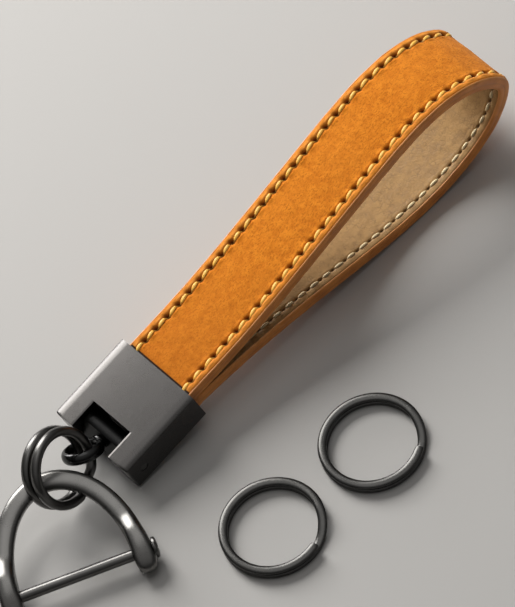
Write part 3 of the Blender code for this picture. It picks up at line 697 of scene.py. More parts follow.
# %% [markdown]
# Both layers of leather are drawn on one net, fine near the stitch rows and coarse elsewhere. The awl makes
# a pit at each needle hole, the thread lies in a shallow trough between two holes, and the leather beside
# it swells into a row of little pillows. One function measures all three, so that heights and colours
# agree.

# %% The net of a layer
LAYER_HALF_WIDTH = 8.92 * MM
FINE_BAND, FINE_STEP, COARSE_STEP = mm(1.15, 0.13, 0.42)
TROUGH_REACH, PILLOW_PLACE, PILLOW_REACH = mm(0.42, 0.78, 0.34)
HIDDEN_SIDE = 0.15 * MM
ABOVE_TABLE = 0.01 * MM
WAVES, WAVE_SUM = 14, 5.0


def across_steps():
    """Places across the strap: close together at the stitch rows and margins."""
    coarse = np.arange(0.0, STITCH_LINE - FINE_BAND, COARSE_STEP)
    fine = np.arange(STITCH_LINE - FINE_BAND, LAYER_HALF_WIDTH, FINE_STEP)
    half = np.concatenate([coarse, fine, [LAYER_HALF_WIDTH]])
    return np.concatenate([-half[:0:-1], half])


net_along, net_across = np.meshgrid(walked, across_steps(), indexing="ij")
from_middle = np.abs(net_across)
margin = np.clip((from_middle - STITCH_LINE) / (STRAP_WIDTH / 2 - STITCH_LINE), 0.0, 1.0)
margin_bulge = np.sin(pi * margin)
loose = np.clip(middle[:, :1] / FULL_SHAPE_FROM, 0.0, 1.0)


def row_marks(hole_length, hole_width, turn):
    """For both rows: how deep in a needle hole, how near the thread's line, and how far on a pillow."""
    pit, trough, pillow = np.zeros((3, *net_along.shape))
    for row, side in SIDE.items():
        phase = stitches_before(net_along, row) % 1.0
        from_hole = (phase - np.round(phase)) * STITCH_LENGTH[row]
        beside = net_across - side * STITCH_LINE
        lengthwise = from_hole * cos(turn) + beside * sin(turn)
        crosswise = beside * cos(turn) - from_hole * sin(turn)
        pit = np.maximum(pit, np.exp(-(lengthwise / hole_length)**2 - (crosswise / hole_width)**2))
        trough = np.maximum(trough, np.exp(-(beside / TROUGH_REACH)**2))
        between_holes = 0.5 - 0.5 * np.cos(2 * pi * phase)
        near_row = np.exp(-((np.abs(beside) - PILLOW_PLACE) / PILLOW_REACH)**2)
        pillow = np.maximum(pillow, between_holes * near_row)
    return pit, trough, pillow


def smooth_field(along, across, seed, length):
    """Slow random hills between -1 and 1, from a few waves."""
    rng = np.random.default_rng(seed)
    total = np.zeros_like(along)
    for _ in range(WAVES):
        turn = rng.uniform(0.0, 2 * pi)
        wave = 2 * pi / (length * rng.uniform(0.6, 1.6))
        start = rng.uniform(0.0, 2 * pi)
        total += np.sin(wave * (along * cos(turn) + across * sin(turn)) + start)
    return total / WAVE_SUM


def strap_piece(name, along, across, out, hidden=()):
    """A piece on the strap from a net of points. Nothing goes below the table that the strap rests on."""
    points = on_strap(along, across, out)
    points[..., 2] = np.maximum(points[..., 2], ABOVE_TABLE)
    return lofted(name, np.eye(4), np.concatenate([points, *hidden], axis=1))


def make_layer(name, face, out, painted, finish, node):
    """A leather layer: the net at its heights, closed by three rows of points on its hidden side."""
    level = np.full(len(walked), face * HIDDEN_SIDE)
    hidden = [on_strap(walked, np.full(len(walked), across), level)[:, None]
              for across in (LAYER_HALF_WIDTH, 0.0, -LAYER_HALF_WIDTH)]
    obj = strap_piece(name, net_along, net_across, out, hidden)
    for label, values in painted.items():
        covering = np.zeros((len(walked), net_across.shape[1] + len(hidden)))
        covering[:, :-len(hidden)] = values
        paint(obj, label, covering)
    dress(obj, finish, "strap_and_clasp", node, sharp=60.0)


print("points in a layer's net:", net_along.shape)

# %% [markdown]
# ## Suede outer layer
#
# Sewing pulls the leather down. The awl cuts slanted slits, so each hole is a small pit set at a slant to
# the row. The margin outside the row is pinched too, so it rounds over towards the painted edge. All of
# this is real height in the net. Colour is painted on top of it: shade in the pits and troughs, a
# highlight on the pillows and margins, a darker stretch towards the clasp, and a shadow where the strap
# slips into the clasp.

# %% Suede layer
SLIT_LENGTH, SLIT_WIDTH, SLIT_TURN = 0.66 * MM, 0.40 * MM, radians(-50.0)
SLIT_DEPTH, TROUGH_DEPTH, PILLOW_RISE = mm(0.66, 0.15, 0.13)
CROWN_RISE, BULGE_RISE, BULGE_POWER = 0.16 * MM, 0.22 * MM, 0.8
ROUNDED_FROM, ROUNDED_OVER, ROUNDED_DROP = mm(8.5, 0.42, 0.20)
MOUTH_SHADOW_UP_TO, MOUTH_SHADOW_FADE, DARKER_UP_TO = mm(0.62, 0.20, 34.0)


def make_suede_layer():
    pit, trough, pillow = row_marks(SLIT_LENGTH, SLIT_WIDTH, SLIT_TURN)
    crown = CROWN_RISE * (1 - (net_across / STITCH_LINE)**2).clip(0.0)
    hills = 0.035 * MM * smooth_field(net_along, net_across, 3, 6.0 * MM)
    hills += 0.012 * MM * smooth_field(net_along, net_across, 4, 1.3 * MM)
    rounded = np.clip((from_middle - ROUNDED_FROM) / ROUNDED_OVER, 0.0, 1.0)**2
    out = HALF_STRAP + loose * (crown + BULGE_RISE * margin_bulge**BULGE_POWER + hills + PILLOW_RISE * pillow)
    out = out - TROUGH_DEPTH * trough - SLIT_DEPTH * pit - ROUNDED_DROP * rounded
    # Painted shade: deep in the holes, fainter along the trough between them.
    shade = np.clip(pit * 1.25 + 0.25 * trough * (1 - pillow), 0.0, 1.0)
    # Painted highlight on the pillows outside the row and on the swelling margins.
    rise = np.clip(0.55 * pillow * (from_middle > STITCH_LINE) + 0.45 * margin_bulge, 0.0, 1.0)
    # Painted shadow over the strip that goes into the clasp's mouth.
    shadow_at_mouth = np.clip((MOUTH_SHADOW_UP_TO - middle[:, :1]) / MOUTH_SHADOW_FADE, 0.0, 1.0)
    # Darker towards the clasp, fading out 34 mm along.
    near_clasp = np.clip(1.0 - middle[:, :1] / DARKER_UP_TO, 0.0, 1.0)**1.3
    painted = {"pit": shade, "ridge_highlight": rise, "mouth": shadow_at_mouth, "darker_near_clasp": near_clasp}
    make_layer("suede_layer", 1, out, painted, suede, "strap_outer")


make_suede_layer()

# %% [markdown]
# ## Lining
#
# The lining faces the inside of the loop. Its stitches are pulled straight and tight, so its holes are
# short slots in line with the row, and a faint lip runs along the edge where the paint begins. Painted
# shade darkens the slots, the thread's trough and the dip of the lip.

# %% Lining layer
SLOT_LENGTH, SLOT_WIDTH, SLOT_DEPTH = mm(0.44, 0.21, 0.36)
LINING_TROUGH, LINING_PILLOW, LINING_BULGE = mm(0.10, 0.05, 0.05)
LIP_FROM, LIP_OVER, LIP_DEPTH = mm(8.40, 0.40, 0.14)


def make_lining_layer():
    pit, trough, pillow = row_marks(SLOT_LENGTH, SLOT_WIDTH, 0.0)
    hills = 0.02 * MM * smooth_field(net_along, net_across, 5, 3.0 * MM)
    lip = np.clip((from_middle - LIP_FROM) / LIP_OVER, 0.0, 1.0)**2
    out = HALF_STRAP + loose * (LINING_BULGE * margin_bulge + LINING_PILLOW * pillow + hills)
    out = out - LINING_TROUGH * trough - SLOT_DEPTH * pit - LIP_DEPTH * lip
    # Painted shade in the slots, along the trough and in the dip of the lip.
    shade = np.clip(pit * 1.1 + 0.12 * trough + 0.42 * lip, 0.0, 1.0)
    make_layer("lining_layer", -1, -out, {"pit": shade}, lining_leather, "strap_lining")


make_lining_layer()

# %% [markdown]
# ## Painted edges
#
# The paint covers the side of both layers. It is a strip with a rounded outside, and a small bead along the
# top and bottom where it laps onto the leather, with a painted highlight along it. A faint seam in its
# middle shows where the two layers meet.

# %% Edge strips
# Half of the strip's outline: how far across, and how far below the suede's face, in mm.
EDGE_OUTLINE = ((8.78, 0.20), (8.80, 0.03), (8.87, -0.07), (8.97, -0.08), (9.08, 0.01), (9.19, 0.17),
                (9.255, 0.40), (9.285, 0.75), (9.295, 1.10), (9.27, 1.30), (9.255, 1.40))
BEAD_RISE, BEAD_REACH, SEAM_REACH = mm(0.03, 0.06, 0.12)


def make_edge(side, where):
    upper = [(across * MM, HALF_STRAP - below * MM) for across, below in EDGE_OUTLINE]
    outline = np.array(upper + [(across, -out) for across, out in reversed(upper[:-1])])
    along, across = np.meshgrid(walked[::2], outline[:, 0], indexing="ij")
    out = np.broadcast_to(outline[:, 1], along.shape)
    swell = 0.02 * MM * smooth_field(along, out, 8 + side, 4.0 * MM)
    obj = strap_piece("painted_edge_" + where, along, side * (across + swell), out)
    # A painted highlight along each bead.
    paint(obj, "ridge_highlight", np.exp(-((np.abs(out) - HALF_STRAP - BEAD_RISE) / BEAD_REACH)**2))
    paint(obj, "pit", np.exp(-(out / SEAM_REACH)**2))
    dress(obj, edge_paint, "strap_and_clasp", "edge_paint_" + where, sharp=60.0)


for where, side in SIDE.items():
    make_edge(side, where)

# %% [markdown]
# ## Stitches
#
# One thread runs through each row. Between two holes it lies on the leather as a plump oval stitch, and at
# each hole it dives in. So each row is one tube whose height, width and slant follow the stitch that it is
# in. Hand work is never quite even: every stitch differs a little, from a fixed list of random numbers.

# %% Threads
THREAD_STEP, THREAD_SIDES, THREAD_INSET = 0.11 * MM, 14, 0.5 * MM
TWIST_LENGTH = 0.42 * MM
STITCH_SINK, STITCH_RISE, STITCH_UNEVEN, DIVE_DEPTH, DIVE_BEND = mm(0.09, 0.15, 0.02, 0.62, 0.10)
UNEVEN_LENGTH, UNEVEN_SLANT, THINNED_BY_DIVE = 0.05, 0.03, 0.45
# For each thread: name, face of the strap, shown share of a stitch, its width, thickness, slant and shift,
# then its finish and the start of the name of the solid that it stands for.
THREADS = (
    ("golden_stitches_", 1, 0.58, 0.92 * MM, 0.58 * MM, 0.20, 0.04 * MM, golden_thread, "needle_thread"),
    ("pale_stitches_", -1, 0.56, 0.70 * MM, 0.52 * MM, 0.0, 0.0, pale_thread, "bobbin_thread"),
)


def make_stitches(row, name, face, visible, width, thickness, slant, shift, finish, slot):
    """One row of stitches. Face is 1 on the suede and -1 on the lining."""
    side = SIDE[row]
    along = np.arange(walked[0] + THREAD_INSET, walked[-1] - THREAD_INSET, THREAD_STEP)
    count = stitches_before(along, row)
    number = np.floor(count).astype(int)
    phase = count - number
    rng = np.random.default_rng(20 + (side > 0) + 2 * (face > 0))
    longer, higher, steeper = rng.uniform(-1.0, 1.0, (number.max() + 3, 3))[number + 1].T
    u = (phase - 0.5) * 2 / (visible * (1 + UNEVEN_LENGTH * longer))
    inside = np.clip(np.abs(u), 0.0, 1.0)
    dive = np.clip((np.abs(u) - 1.0) / (1.0 / visible - 1.0), 0.0, 1.0)
    plump = np.sqrt(1 - 0.86 * inside**2)
    out = HALF_STRAP - STITCH_SINK + (STITCH_RISE + STITCH_UNEVEN * higher) * (1 - inside**2)
    out = out - DIVE_DEPTH * dive**0.8 - DIVE_BEND * (np.abs(u) > 1) * dive**0.3
    half_width = width / 2 * (0.30 + 0.70 * plump) * (1 - THINNED_BY_DIVE * dive)
    half_height = thickness / 2 * (0.40 + 0.60 * plump) * (1 - THINNED_BY_DIVE * dive)
    shown = np.where(inside < 1, 1.0, 1.0 - dive)
    lean = (slant + UNEVEN_SLANT * steeper) * (phase - 0.5) * STITCH_LENGTH[row] * shown
    across = side * STITCH_LINE + shift * (1 - dive) * side + lean
    turns = circle(THREAD_SIDES)
    ring_across = across[:, None] + half_width[:, None] * np.cos(turns)
    ring_out = face * (out[:, None] + half_height[:, None] * np.sin(turns))
    ring_along = np.repeat(along[:, None], THREAD_SIDES, axis=1)
    obj = strap_piece(name + row, ring_along, ring_across, ring_out)
    paint(obj, "twist", ring_along * (2 * pi / TWIST_LENGTH) + turns)
    # Painted shade on the thread where it dives into the holes.
    paint(obj, "pit", np.repeat(dive[:, None]**0.6, THREAD_SIDES, axis=1))
    dress(obj, finish, "strap_and_clasp", slot + "_" + row, sharp=70.0)


for row in SIDE:
    for thread in THREADS:
        make_stitches(row, *thread)

# %% [markdown]
# ## Clasp
#
# The clasp is a cast block with wide, soft shoulders, rounded lower corners and a top that is crowned by a
# hair. A pocket is cut into its back for the strap ends and a notch into its front for the swivel, and the
# screw and the axles have their holes. On top, the notch's sides open in a shallow flare that catches the
# light. Every sharp edge left by the cuts is then rounded by a quarter of a millimetre, as on a plated
# casting. The soft shoulders would draw the outline in, so the block is 0.4 mm wider on each side than its
# solid.

# %% Clasp outline
CLASP_LENGTH, CLASP_WIDTH, CLASP_THICKNESS = 0.0200, 0.0218, 0.0090
CLASP_SHOULDER, CLASP_SHOULDER_TURN, CLASP_EDGE_RADIUS = 2.1 * MM, radians(30.0), 0.45 * MM
CLASP_CORNER_RADIUS, CLASP_LOW_RADIUS, CLASP_CROWN = mm(0.6, 0.9, 0.10)


def clasp_section():
    """The block's outline across: a crowned top, a wide soft shoulder, a tight corner, the upright side."""
    half_width, half_height = CLASP_WIDTH / 2, CLASP_THICKNESS / 2
    radius, low_radius = CLASP_EDGE_RADIUS, CLASP_LOW_RADIUS
    shoulder_z = half_height - CLASP_CROWN
    flat = half_width - radius * (1 - sin(CLASP_SHOULDER_TURN)) - CLASP_SHOULDER
    right = [(y, shoulder_z + CLASP_CROWN * (1 - (y / flat)**2)) for y in np.linspace(0.0, flat, 8)]
    bend = CLASP_SHOULDER / sin(CLASP_SHOULDER_TURN)
    for turn in np.linspace(0.0, CLASP_SHOULDER_TURN, 9)[1:]:
        right.append((flat + bend * sin(turn), shoulder_z - bend * (1 - cos(turn))))
    corner_z = right[-1][1] - radius * cos(CLASP_SHOULDER_TURN)
    for turn in np.linspace(CLASP_SHOULDER_TURN, pi / 2, 8)[1:]:
        right.append((half_width - radius * (1 - sin(turn)), corner_z + radius * cos(turn)))
    for turn in np.linspace(0.0, pi / 2, 9):
        right.append((half_width - low_radius * (1 - cos(turn)),
                      low_radius * (1 - sin(turn)) - half_height))
    right.append((0.0, -half_height))
    return right + [(-y, z) for y, z in reversed(right[1:-1])]


print("points round the clasp:", len(clasp_section()))

# %% Clasp shell
POCKET_DEPTH, POCKET_HALF_WIDTH, POCKET_HALF_HEIGHT = 0.0110, 0.0095, 0.00335
NOTCH_FLOOR, NOTCH_HALF_WIDTH = 0.0067 - CLASP_LENGTH, 0.00555
FLARE_SINK, FLARE_FALL, FLARE_REACH, FLARE_STOP = mm(0.043, 0.08, 1.2, 0.01)
AXLE_PLACE, AXLE_BORE = 0.0035 - CLASP_LENGTH, 0.92 * MM
SCREW_PLACE, SCREW_BORE, SCREW_BORE_END = mm(-5.5, 1.3, 4.05)
SINK_RADIUS, SINK_DEPTH = mm(3.6, 1.2)
CRISP_DEPTH, CRISP_MIDDLE, CRISP_HALF, CRISP_BEHIND = mm(0.12, 0.40, 0.35, 0.02)
SHARP_FROM, CRISP_FROM = radians(50.0), radians(7.0)
CLASP_SOFTENING = 0.26 * MM
OVERRUN = 1.0 * MM


def keep_flare_crisp(shell):
    """Keeps the outer edges of the flare crisp, and the flat faces flat."""
    places = in_world(np.linalg.inv(CLASP), [v.co[:] for v in shell.data.vertices])
    high = places[:, 2] > CLASP_THICKNESS / 2 - CRISP_DEPTH
    beside = np.abs(np.abs(places[:, 1]) - NOTCH_HALF_WIDTH - CRISP_MIDDLE) < CRISP_HALF
    ahead = places[:, 0] < NOTCH_FLOOR + CRISP_BEHIND
    marked = high & beside & ahead
    shell.data.set_sharp_from_angle(angle=SHARP_FROM)
    bm = bmesh.new()
    bm.from_mesh(shell.data)
    for edge in bm.edges:
        if marked[edge.verts[0].index] and marked[edge.verts[1].index] and len(edge.link_faces) == 2:
            if edge.calc_face_angle() > CRISP_FROM:
                edge.smooth = False
    bm.to_mesh(shell.data)
    bm.free()
    modifier = shell.modifiers.new("weighted", "WEIGHTED_NORMAL")
    modifier.keep_sharp = True
    bake_shape(shell)


def make_clasp():
    half_width, half_height = CLASP_WIDTH / 2, CLASP_THICKNESS / 2
    section = clasp_section()
    rings = []
    for turn in np.radians(np.linspace(0.0, 90.0, 7)):
        inset = CLASP_CORNER_RADIUS * (1 - sin(turn))
        x = -CLASP_LENGTH + CLASP_CORNER_RADIUS * (1 - cos(turn))
        rings.append([(x, y * (1 - inset / half_width), z) for y, z in section])
    rings.append([(0.0, y, z) for y, z in section])
    shell = lofted("clasp", CLASP, rings)
    front, wide, tall = -CLASP_LENGTH - OVERRUN, half_width + OVERRUN, half_height + OVERRUN
    pocket = block("pocket", CLASP, (-POCKET_DEPTH, -POCKET_HALF_WIDTH, -POCKET_HALF_HEIGHT),
                   (OVERRUN, POCKET_HALF_WIDTH, POCKET_HALF_HEIGHT))
    notch = block("notch", CLASP, (front, -NOTCH_HALF_WIDTH, -tall), (NOTCH_FLOOR, NOTCH_HALF_WIDTH, tall))
    flare_z = half_height - FLARE_SINK
    inner, outer = NOTCH_HALF_WIDTH, NOTCH_HALF_WIDTH + FLARE_REACH
    low, high = flare_z - FLARE_FALL, flare_z + 2 * FLARE_FALL
    flare = [(-inner, low), (-outer, high), (outer, high), (inner, low)]
    edges = lofted("flare", CLASP, [[(x, y, z) for y, z in flare] for x in (front, NOTCH_FLOOR - FLARE_STOP)])
    bore = turned("axle_bore", sideways(CLASP, 1, AXLE_PLACE), [(-wide, AXLE_BORE), (wide, AXLE_BORE)], 48)
    hole = [(-tall, SINK_RADIUS), (-half_height + SINK_DEPTH, SCREW_BORE), (SCREW_BORE_END, SCREW_BORE)]
    sink = turned("screw_hole", upright(CLASP, SCREW_PLACE), hole, 32)
    carve(shell, [pocket, notch, edges, bore, sink])
    soften(shell, CLASP_SOFTENING, 4, harden=False)
    keep_flare_crisp(shell)
    dress(shell, satin_gunmetal, "strap_and_clasp", "clasp_shell")


make_clasp()

# %% [markdown]
# ## Screw and axles
#
# A countersunk screw under the clasp holds the strap ends. Two short riveted axles carry the swivel barrel,
# and their domed ends just show in the clasp's sides.

# %% Screw and axles
# Profiles in mm: from the screw's head upwards, from the axle's inner end, and from the clasp's side.
SCREW_OUTLINE = ((0.0, 0.05), (0.0, 1.78), (0.06, 1.88), (0.14, 1.86), (0.8, 1.0), (7.95, 1.0), (8.25, 0.7))
AXLE_FOOT = ((0.0, 0.75), (0.12, 0.90))
AXLE_HEAD = ((-0.16, 0.90), (-0.09, 0.86), (-0.04, 0.72), (0.0, 0.40), (0.01, 0.05))
AXLE_INNER_END = 3.15 * MM
HEAD_SUNK = 0.1 * MM
SCREW_SLOT_HALF_WIDTH, SCREW_SLOT_DEPTH = mm(0.25, 0.4)
SLOT_REACH = 3 * MM
SMALL_SOFTENING = 0.05 * MM


def make_screw():
    low = -CLASP_THICKNESS / 2 + HEAD_SUNK
    screw = turned("strap_screw_turned", upright(CLASP, SCREW_PLACE), from_mm(SCREW_OUTLINE, low))
    slot = block("slot", CLASP, (SCREW_PLACE - SLOT_REACH, -SCREW_SLOT_HALF_WIDTH, low - OVERRUN),
                 (SCREW_PLACE + SLOT_REACH, SCREW_SLOT_HALF_WIDTH, low + SCREW_SLOT_DEPTH))
    carve(screw, [slot])
    soften(screw, SMALL_SOFTENING, 2)
    dress(screw, black_nickel, "strap_and_clasp", "strap_screw")


def make_axle(side, where):
    profile = from_mm(AXLE_FOOT, AXLE_INNER_END) + from_mm(AXLE_HEAD, CLASP_WIDTH / 2)
    axle = turned("axle_pin_" + where, sideways(CLASP, side, AXLE_PLACE), profile, 48)
    dress(axle, black_nickel, "strap_and_clasp", "axle_" + where, sharp=50.0)


make_screw()
for where, side in SIDE.items():
    make_axle(side, where)

# %% [markdown]
# ## Swivel barrel
#
# A short turned bar with a flat milled on its front and back, drilled crosswise for the swivel's stem and
# endwise for the axles. It is cut from a lathe shape, then its edges are softened.

# %% Barrel
BARREL_PLAY, BARREL_RADIUS = mm(0.3, 2.95)
FLAT_AHEAD, FLAT_BEHIND = mm(2.1, 2.5)
STEM_BORE, STEM_HEAD_BORE, STEM_HEAD_FROM = mm(1.4, 2.2, 1.2)
AXLE_HOLE, AXLE_HOLE_DEPTH = mm(1.1, 2.3)
BARREL_SOFTENING = 0.16 * MM


def make_barrel():
    half = NOTCH_HALF_WIDTH - BARREL_PLAY
    far = BARREL_RADIUS + OVERRUN
    wide = half + OVERRUN
    barrel = turned("barrel_turned", sideways(BARREL, 1), [(-half, BARREL_RADIUS), (half, BARREL_RADIUS)], 96)
    stem_bore = [(-far, STEM_BORE), (STEM_HEAD_FROM, STEM_BORE), (STEM_HEAD_FROM, STEM_HEAD_BORE),
                 (far, STEM_HEAD_BORE)]
    cutters = [block("front", BARREL, (-far, -wide, -far), (-FLAT_AHEAD, wide, far)),
               block("back", BARREL, (FLAT_BEHIND, -wide, -far), (far, wide, far)),
               turned("stem_bore", BARREL, stem_bore, 48)]
    for side in (-1, 1):
        axle_hole = [(half - AXLE_HOLE_DEPTH, AXLE_HOLE), (wide, AXLE_HOLE)]
        cutters.append(turned("axle_hole", sideways(BARREL, side), axle_hole, 32))
    carve(barrel, cutters)
    soften(barrel, BARREL_SOFTENING, 2)
    # The barrel's near-black plating is painted shade for the notch it sits in.
    dress(barrel, barrel_in_shade, "barrel", "swivel_barrel")


make_barrel()

# %% [markdown]
# ## Swivel eye
#
# The stem, its head and its collar are turned in one with a small oval eye. The lathe shape has a rounded
# collar, as fittings of this kind have, and it is joined to the oval wire into one solid.

# %% Eye
EYE_REACH_X, EYE_REACH_Z = mm(3.70, 3.56)
EYE_WIRE, EYE_HALF_DEPTH = mm(0.86, 1.25)
# Along the stem and its radius, in mm: the collar, the stem, then the head behind the barrel.
EYE_COLLAR = ((3.35, 1.1), (3.55, 1.45), (3.85, 1.66), (4.15, 1.70), (4.42, 1.62), (4.56, 1.40), (4.6, 1.2))
EYE_HEAD = ((8.05, 1.2), (8.25, 1.3), (8.30, 1.85), (8.38, 1.98), (8.95, 2.0), (9.12, 1.88), (9.20, 1.5))


def make_eye():
    rings = []
    for t in circle(96):
        centre = np.array([EYE_REACH_X * cos(t), 0.0, EYE_REACH_Z * sin(t)])
        away = np.array([cos(t) / EYE_REACH_X, 0.0, sin(t) / EYE_REACH_Z])
        away *= EYE_WIRE / np.linalg.norm(away)
        across = np.array([0.0, EYE_HALF_DEPTH, 0.0])
        rings.append([centre + cos(a) * away + sin(a) * across for a in circle(24)])
    eye = lofted("swivel_eye_turned", EYE, rings, closed=True)
    carve(eye, [turned("stem", EYE, from_mm(EYE_COLLAR + EYE_HEAD))], "UNION")
    dress(eye, eye_black, "eye", "swivel_eye", sharp=35.0)


make_eye()

# %% [markdown]
# ## Split rings
#
# A split ring is wire wound twice, with one short step where it crosses from the lower turn to the upper.
# The connector's wire is round, and its two turns stand a little apart at one place. The loose rings are
# wound from flattened wire. The ends are cut square.

# %% Rings
COIL_STEP, COIL_HALF_CROSSING = radians(2.5), radians(26.0)
CUT_END, NEXT_TO_END = 0.86, 0.97


def coil(radius, pitch):
    """The wire's middle line: two flat turns and the step between them."""
    length = 4 * pi - 2 * COIL_HALF_CROSSING
    count = int(length / COIL_STEP)
    angles = COIL_HALF_CROSSING + length * np.arange(count + 1) / count
    rise = eased((angles - (2 * pi - COIL_HALF_CROSSING)) / (2 * COIL_HALF_CROSSING)) - 0.5
    return angles, np.stack([radius * np.cos(angles), radius * np.sin(angles), rise * pitch], axis=1)


def squared(values, squareness):
    """Pushes a circle's numbers outwards, towards a square with round corners."""
    return np.sign(values) * np.abs(values)**(2 / squareness)


def make_ring(name, matrix, radius, pitch, half_width, half_height, squareness, spread, finish, body, node):
    """A split ring. Spread says at which angle its turns stand apart, and by what share."""
    angles, line = coil(radius, pitch)
    line[:, 2] *= 1 + spread[1] * (0.5 + 0.5 * np.cos(angles - radians(spread[0])))**2
    wide = half_width * squared(np.cos(circle(28)), squareness)
    tall = half_height * squared(np.sin(circle(28)), squareness)
    trim = np.ones(len(angles))
    trim[[0, -1]] = CUT_END
    trim[[1, -2]] = NEXT_TO_END
    rings = []
    for angle, point, size in zip(angles, line, trim):
        away = np.array([cos(angle), sin(angle), 0.0])
        rings.append([point + size * (a * away + (0.0, 0.0, b)) for a, b in zip(wide, tall)])
    dress(lofted(name, matrix, rings), finish, body, node, sharp=50.0)


# After the frame: radius, pitch, the wire's half width and half height, squareness and spread.
CONNECTOR_RADIUS, KEY_RING_MIDDLE = mm(7.5, 1.25)
ring_middle = moved(RING, (-CONNECTOR_RADIUS, 0, 0))
make_ring("connector_coil", spun(ring_middle, -47.0), CONNECTOR_RADIUS, 2.6 * MM, 1.0 * MM, 1.08 * MM, 2.2,
          (202.0, 0.10), black_nickel, "ring", "connector_ring")
for where, turn in (("near", -48.0), ("far", -32.0)):
    low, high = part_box("key_ring_" + where)
    ring_middle = moved(np.eye(4), ((low[0] + high[0]) / 2, (low[1] + high[1]) / 2, KEY_RING_MIDDLE))
    make_ring("key_coil_" + where, spun(ring_middle, turn), 10.1 * MM, 1.4 * MM, 0.95 * MM, 0.55 * MM, 2.4,
              (0.0, 0.0), ring_nickel, where + "_key_ring", "key_ring_" + where)

# %% [markdown]
# ## Shackle
#
# The shackle is cast: an arched band with a crowned top and rounded corners, which widens as it runs into a
# round lug at each end. A lug is highest a little before the pin and falls away to its tip. The whole is
# one loft from lug to lug. The ring of points round it changes on the way: a soft-cornered band at first,
# then taller until it is as high as the lug is round. Only the pin's hole is drilled afterwards.

# %% Heights of the shackle
ARCH_HALF_WIDTH, ARCH_HEIGHT = mm(13.9, 20.8)
LUG_OUTER, LUG_RADIUS, LUG_OVERHANG = mm(16.2, 3.3, 1.2)
FLARE_START, FLARE_END, BAND_HALF_HEIGHT = mm(9.5, 0.2, 1.50)
LUG_CREST, LUG_CREST_HEIGHT = mm(3.6, 3.10)


def half_height_at(y):
    """How thick the shackle is, either side of its middle: the band, blended into the round lug."""
    if y < -LUG_OVERHANG:
        return sqrt(max(0.0, LUG_RADIUS**2 - (y + LUG_OVERHANG)**2))
    share = eased((FLARE_START - y) / (FLARE_START - FLARE_END))
    return BAND_HALF_HEIGHT + (LUG_RADIUS - BAND_HALF_HEIGHT) * share


def top_height_at(y):
    """The same on the upper side: highest a little before the pin, then falling to the tip of the lug."""
    if y < LUG_CREST:
        fall = (LUG_CREST - y) / (LUG_CREST + LUG_OVERHANG + LUG_RADIUS)
        return LUG_CREST_HEIGHT * sqrt(max(0.0, 1 - fall**2))
    share = eased((FLARE_START - y) / (FLARE_START - LUG_CREST))
    return BAND_HALF_HEIGHT + (LUG_CREST_HEIGHT - BAND_HALF_HEIGHT) * share


print("top of the band and of the lug in mm:", [round(top_height_at(y) / MM, 2) for y in (FLARE_START, 0.0)])

# %% Shackle
TIP_TURNS = (4, 8, 12, 17, 23, 30, 38, 47, 56, 66, 78, 90)
LUG_TOP, LUG_RINGS, BAND_RINGS = 9.6 * MM, 38, 46
SWELL_START, SWELL_OVER, LUG_SWELL = mm(6.0, 5.0, 0.15)
BAND_HALF_WIDTH, TIP_NARROWING = 2.0 * MM, 0.30
CORNER_RADIUS, CORNER_SWELL = mm(0.95, 0.10)
CORNER_LIMIT = 0.92
CROWN_DROP, CROWN_LIMIT = 0.62 * MM, 0.45
PIN_BORE = 1.4 * MM


def shackle_stations():
    """Heights above the pin where half of the shackle gets a ring of points, from the tip of the lug up."""
    tip = [-LUG_OVERHANG - LUG_RADIUS * cos(radians(turn)) for turn in TIP_TURNS]
    lug = np.linspace(-LUG_OVERHANG, LUG_TOP, LUG_RINGS)[1:]
    turns = np.linspace(asin(LUG_TOP / ARCH_HEIGHT), pi / 2, BAND_RINGS)[1:]
    return [*tip, *lug, *(ARCH_HEIGHT * sin(turn) for turn in turns)]


def rounded_section(half_width, half_height, radius):
    """A rounded rectangle, from four quarters of a circle."""
    w, h = half_width - radius, half_height - radius
    points = []
    for start, (x, y) in zip((0.0, 90.0, 180.0, 270.0), ((w, h), (-w, h), (-w, -h), (w, -h))):
        turns = np.radians(np.linspace(start, start + 90.0, 7))
        points += [(x + radius * cos(turn), y + radius * sin(turn)) for turn in turns]
    return points


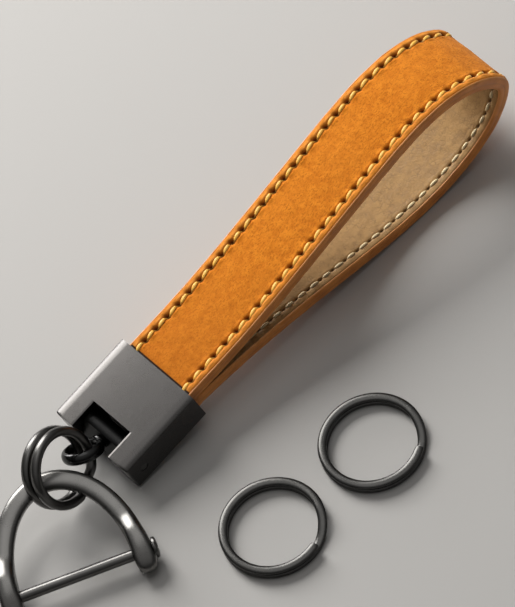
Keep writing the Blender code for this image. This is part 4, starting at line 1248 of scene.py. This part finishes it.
def shackle_ring(y):
    """The ring of points round the shackle at a height above the pin."""
    turn = asin(min(1.0, max(0.0, y / ARCH_HEIGHT)))
    into_lug = eased((SWELL_START - y) / SWELL_OVER)
    x = ARCH_HALF_WIDTH * cos(turn) + LUG_SWELL * into_lug
    along = np.array([-ARCH_HALF_WIDTH * sin(turn), ARCH_HEIGHT * cos(turn)])
    along /= np.linalg.norm(along)
    past_middle = max(0.0, -(y + LUG_OVERHANG))
    from_rim = LUG_RADIUS - past_middle
    width = BAND_HALF_WIDTH + LUG_SWELL * into_lug
    width *= 1 - TIP_NARROWING * (past_middle / LUG_RADIUS)**2
    height = half_height_at(y)
    corner = CORNER_RADIUS + CORNER_SWELL * into_lug
    if from_rim < corner:
        width -= corner - sqrt(max(0.0, corner**2 - (corner - from_rim)**2))
    crown = min(CROWN_DROP, CROWN_LIMIT * height)
    points = []
    for a, b in rounded_section(width, height, min(corner, CORNER_LIMIT * height)):
        b -= copysign(crown * (a / width)**2 * min(1.0, (abs(b) / height)**2), b)
        if b > 0:
            b *= top_height_at(y) / max(height, 0.01 * MM)
        points.append((x + along[1] * a, y - along[0] * a, b))
    return points


def make_shackle():
    rings = [shackle_ring(y) for y in shackle_stations()]
    rings += [[(-x, y, z) for x, y, z in ring] for ring in reversed(rings[:-1])]
    cast = lofted("shackle_cast", SHACKLE, rings)
    far = LUG_OUTER + OVERRUN
    carve(cast, [turned("pin_bore", SHACKLE, [(-far, PIN_BORE), (far, PIN_BORE)], 48)])
    # Its lighter plating is painted light for the bright reflections along the band.
    dress(cast, shackle_nickel, "shackle", "shackle", sharp=48.0)


make_shackle()

# %% [markdown]
# ## Shackle pin
#
# A plain polished bar with a slotted cheese head outside the near lug. The head's rim is rounded, and the
# slot is cut straight across it.

# %% Pin
# Profiles in mm: the bar's end from the far lug's outside, and the head from the near lug's outside.
PIN_END = ((0.4, 0.95), (0.65, 1.2))
PIN_HEAD = ((0.10, 1.2), (0.12, 2.05), (0.20, 2.17), (0.32, 2.2), (0.66, 2.17), (0.88, 1.98), (1.0, 1.60),
            (1.0, 0.3))
PIN_HEAD_HEIGHT, PIN_SLOT_DEPTH, PIN_SLOT_HALF_WIDTH = mm(1.0, 0.5, 0.35)


def make_pin():
    profile = from_mm(PIN_END, -LUG_OUTER) + from_mm(PIN_HEAD, LUG_OUTER)
    pin = turned("slotted_pin", SHACKLE, profile, 72)
    end = LUG_OUTER + PIN_HEAD_HEIGHT
    slot = block("slot", SHACKLE, (end - PIN_SLOT_DEPTH, -PIN_SLOT_HALF_WIDTH, -SLOT_REACH),
                 (end + OVERRUN, PIN_SLOT_HALF_WIDTH, SLOT_REACH))
    carve(pin, [slot])
    soften(pin, SMALL_SOFTENING, 2)
    dress(pin, black_nickel, "pin", "shackle_pin")


make_pin()
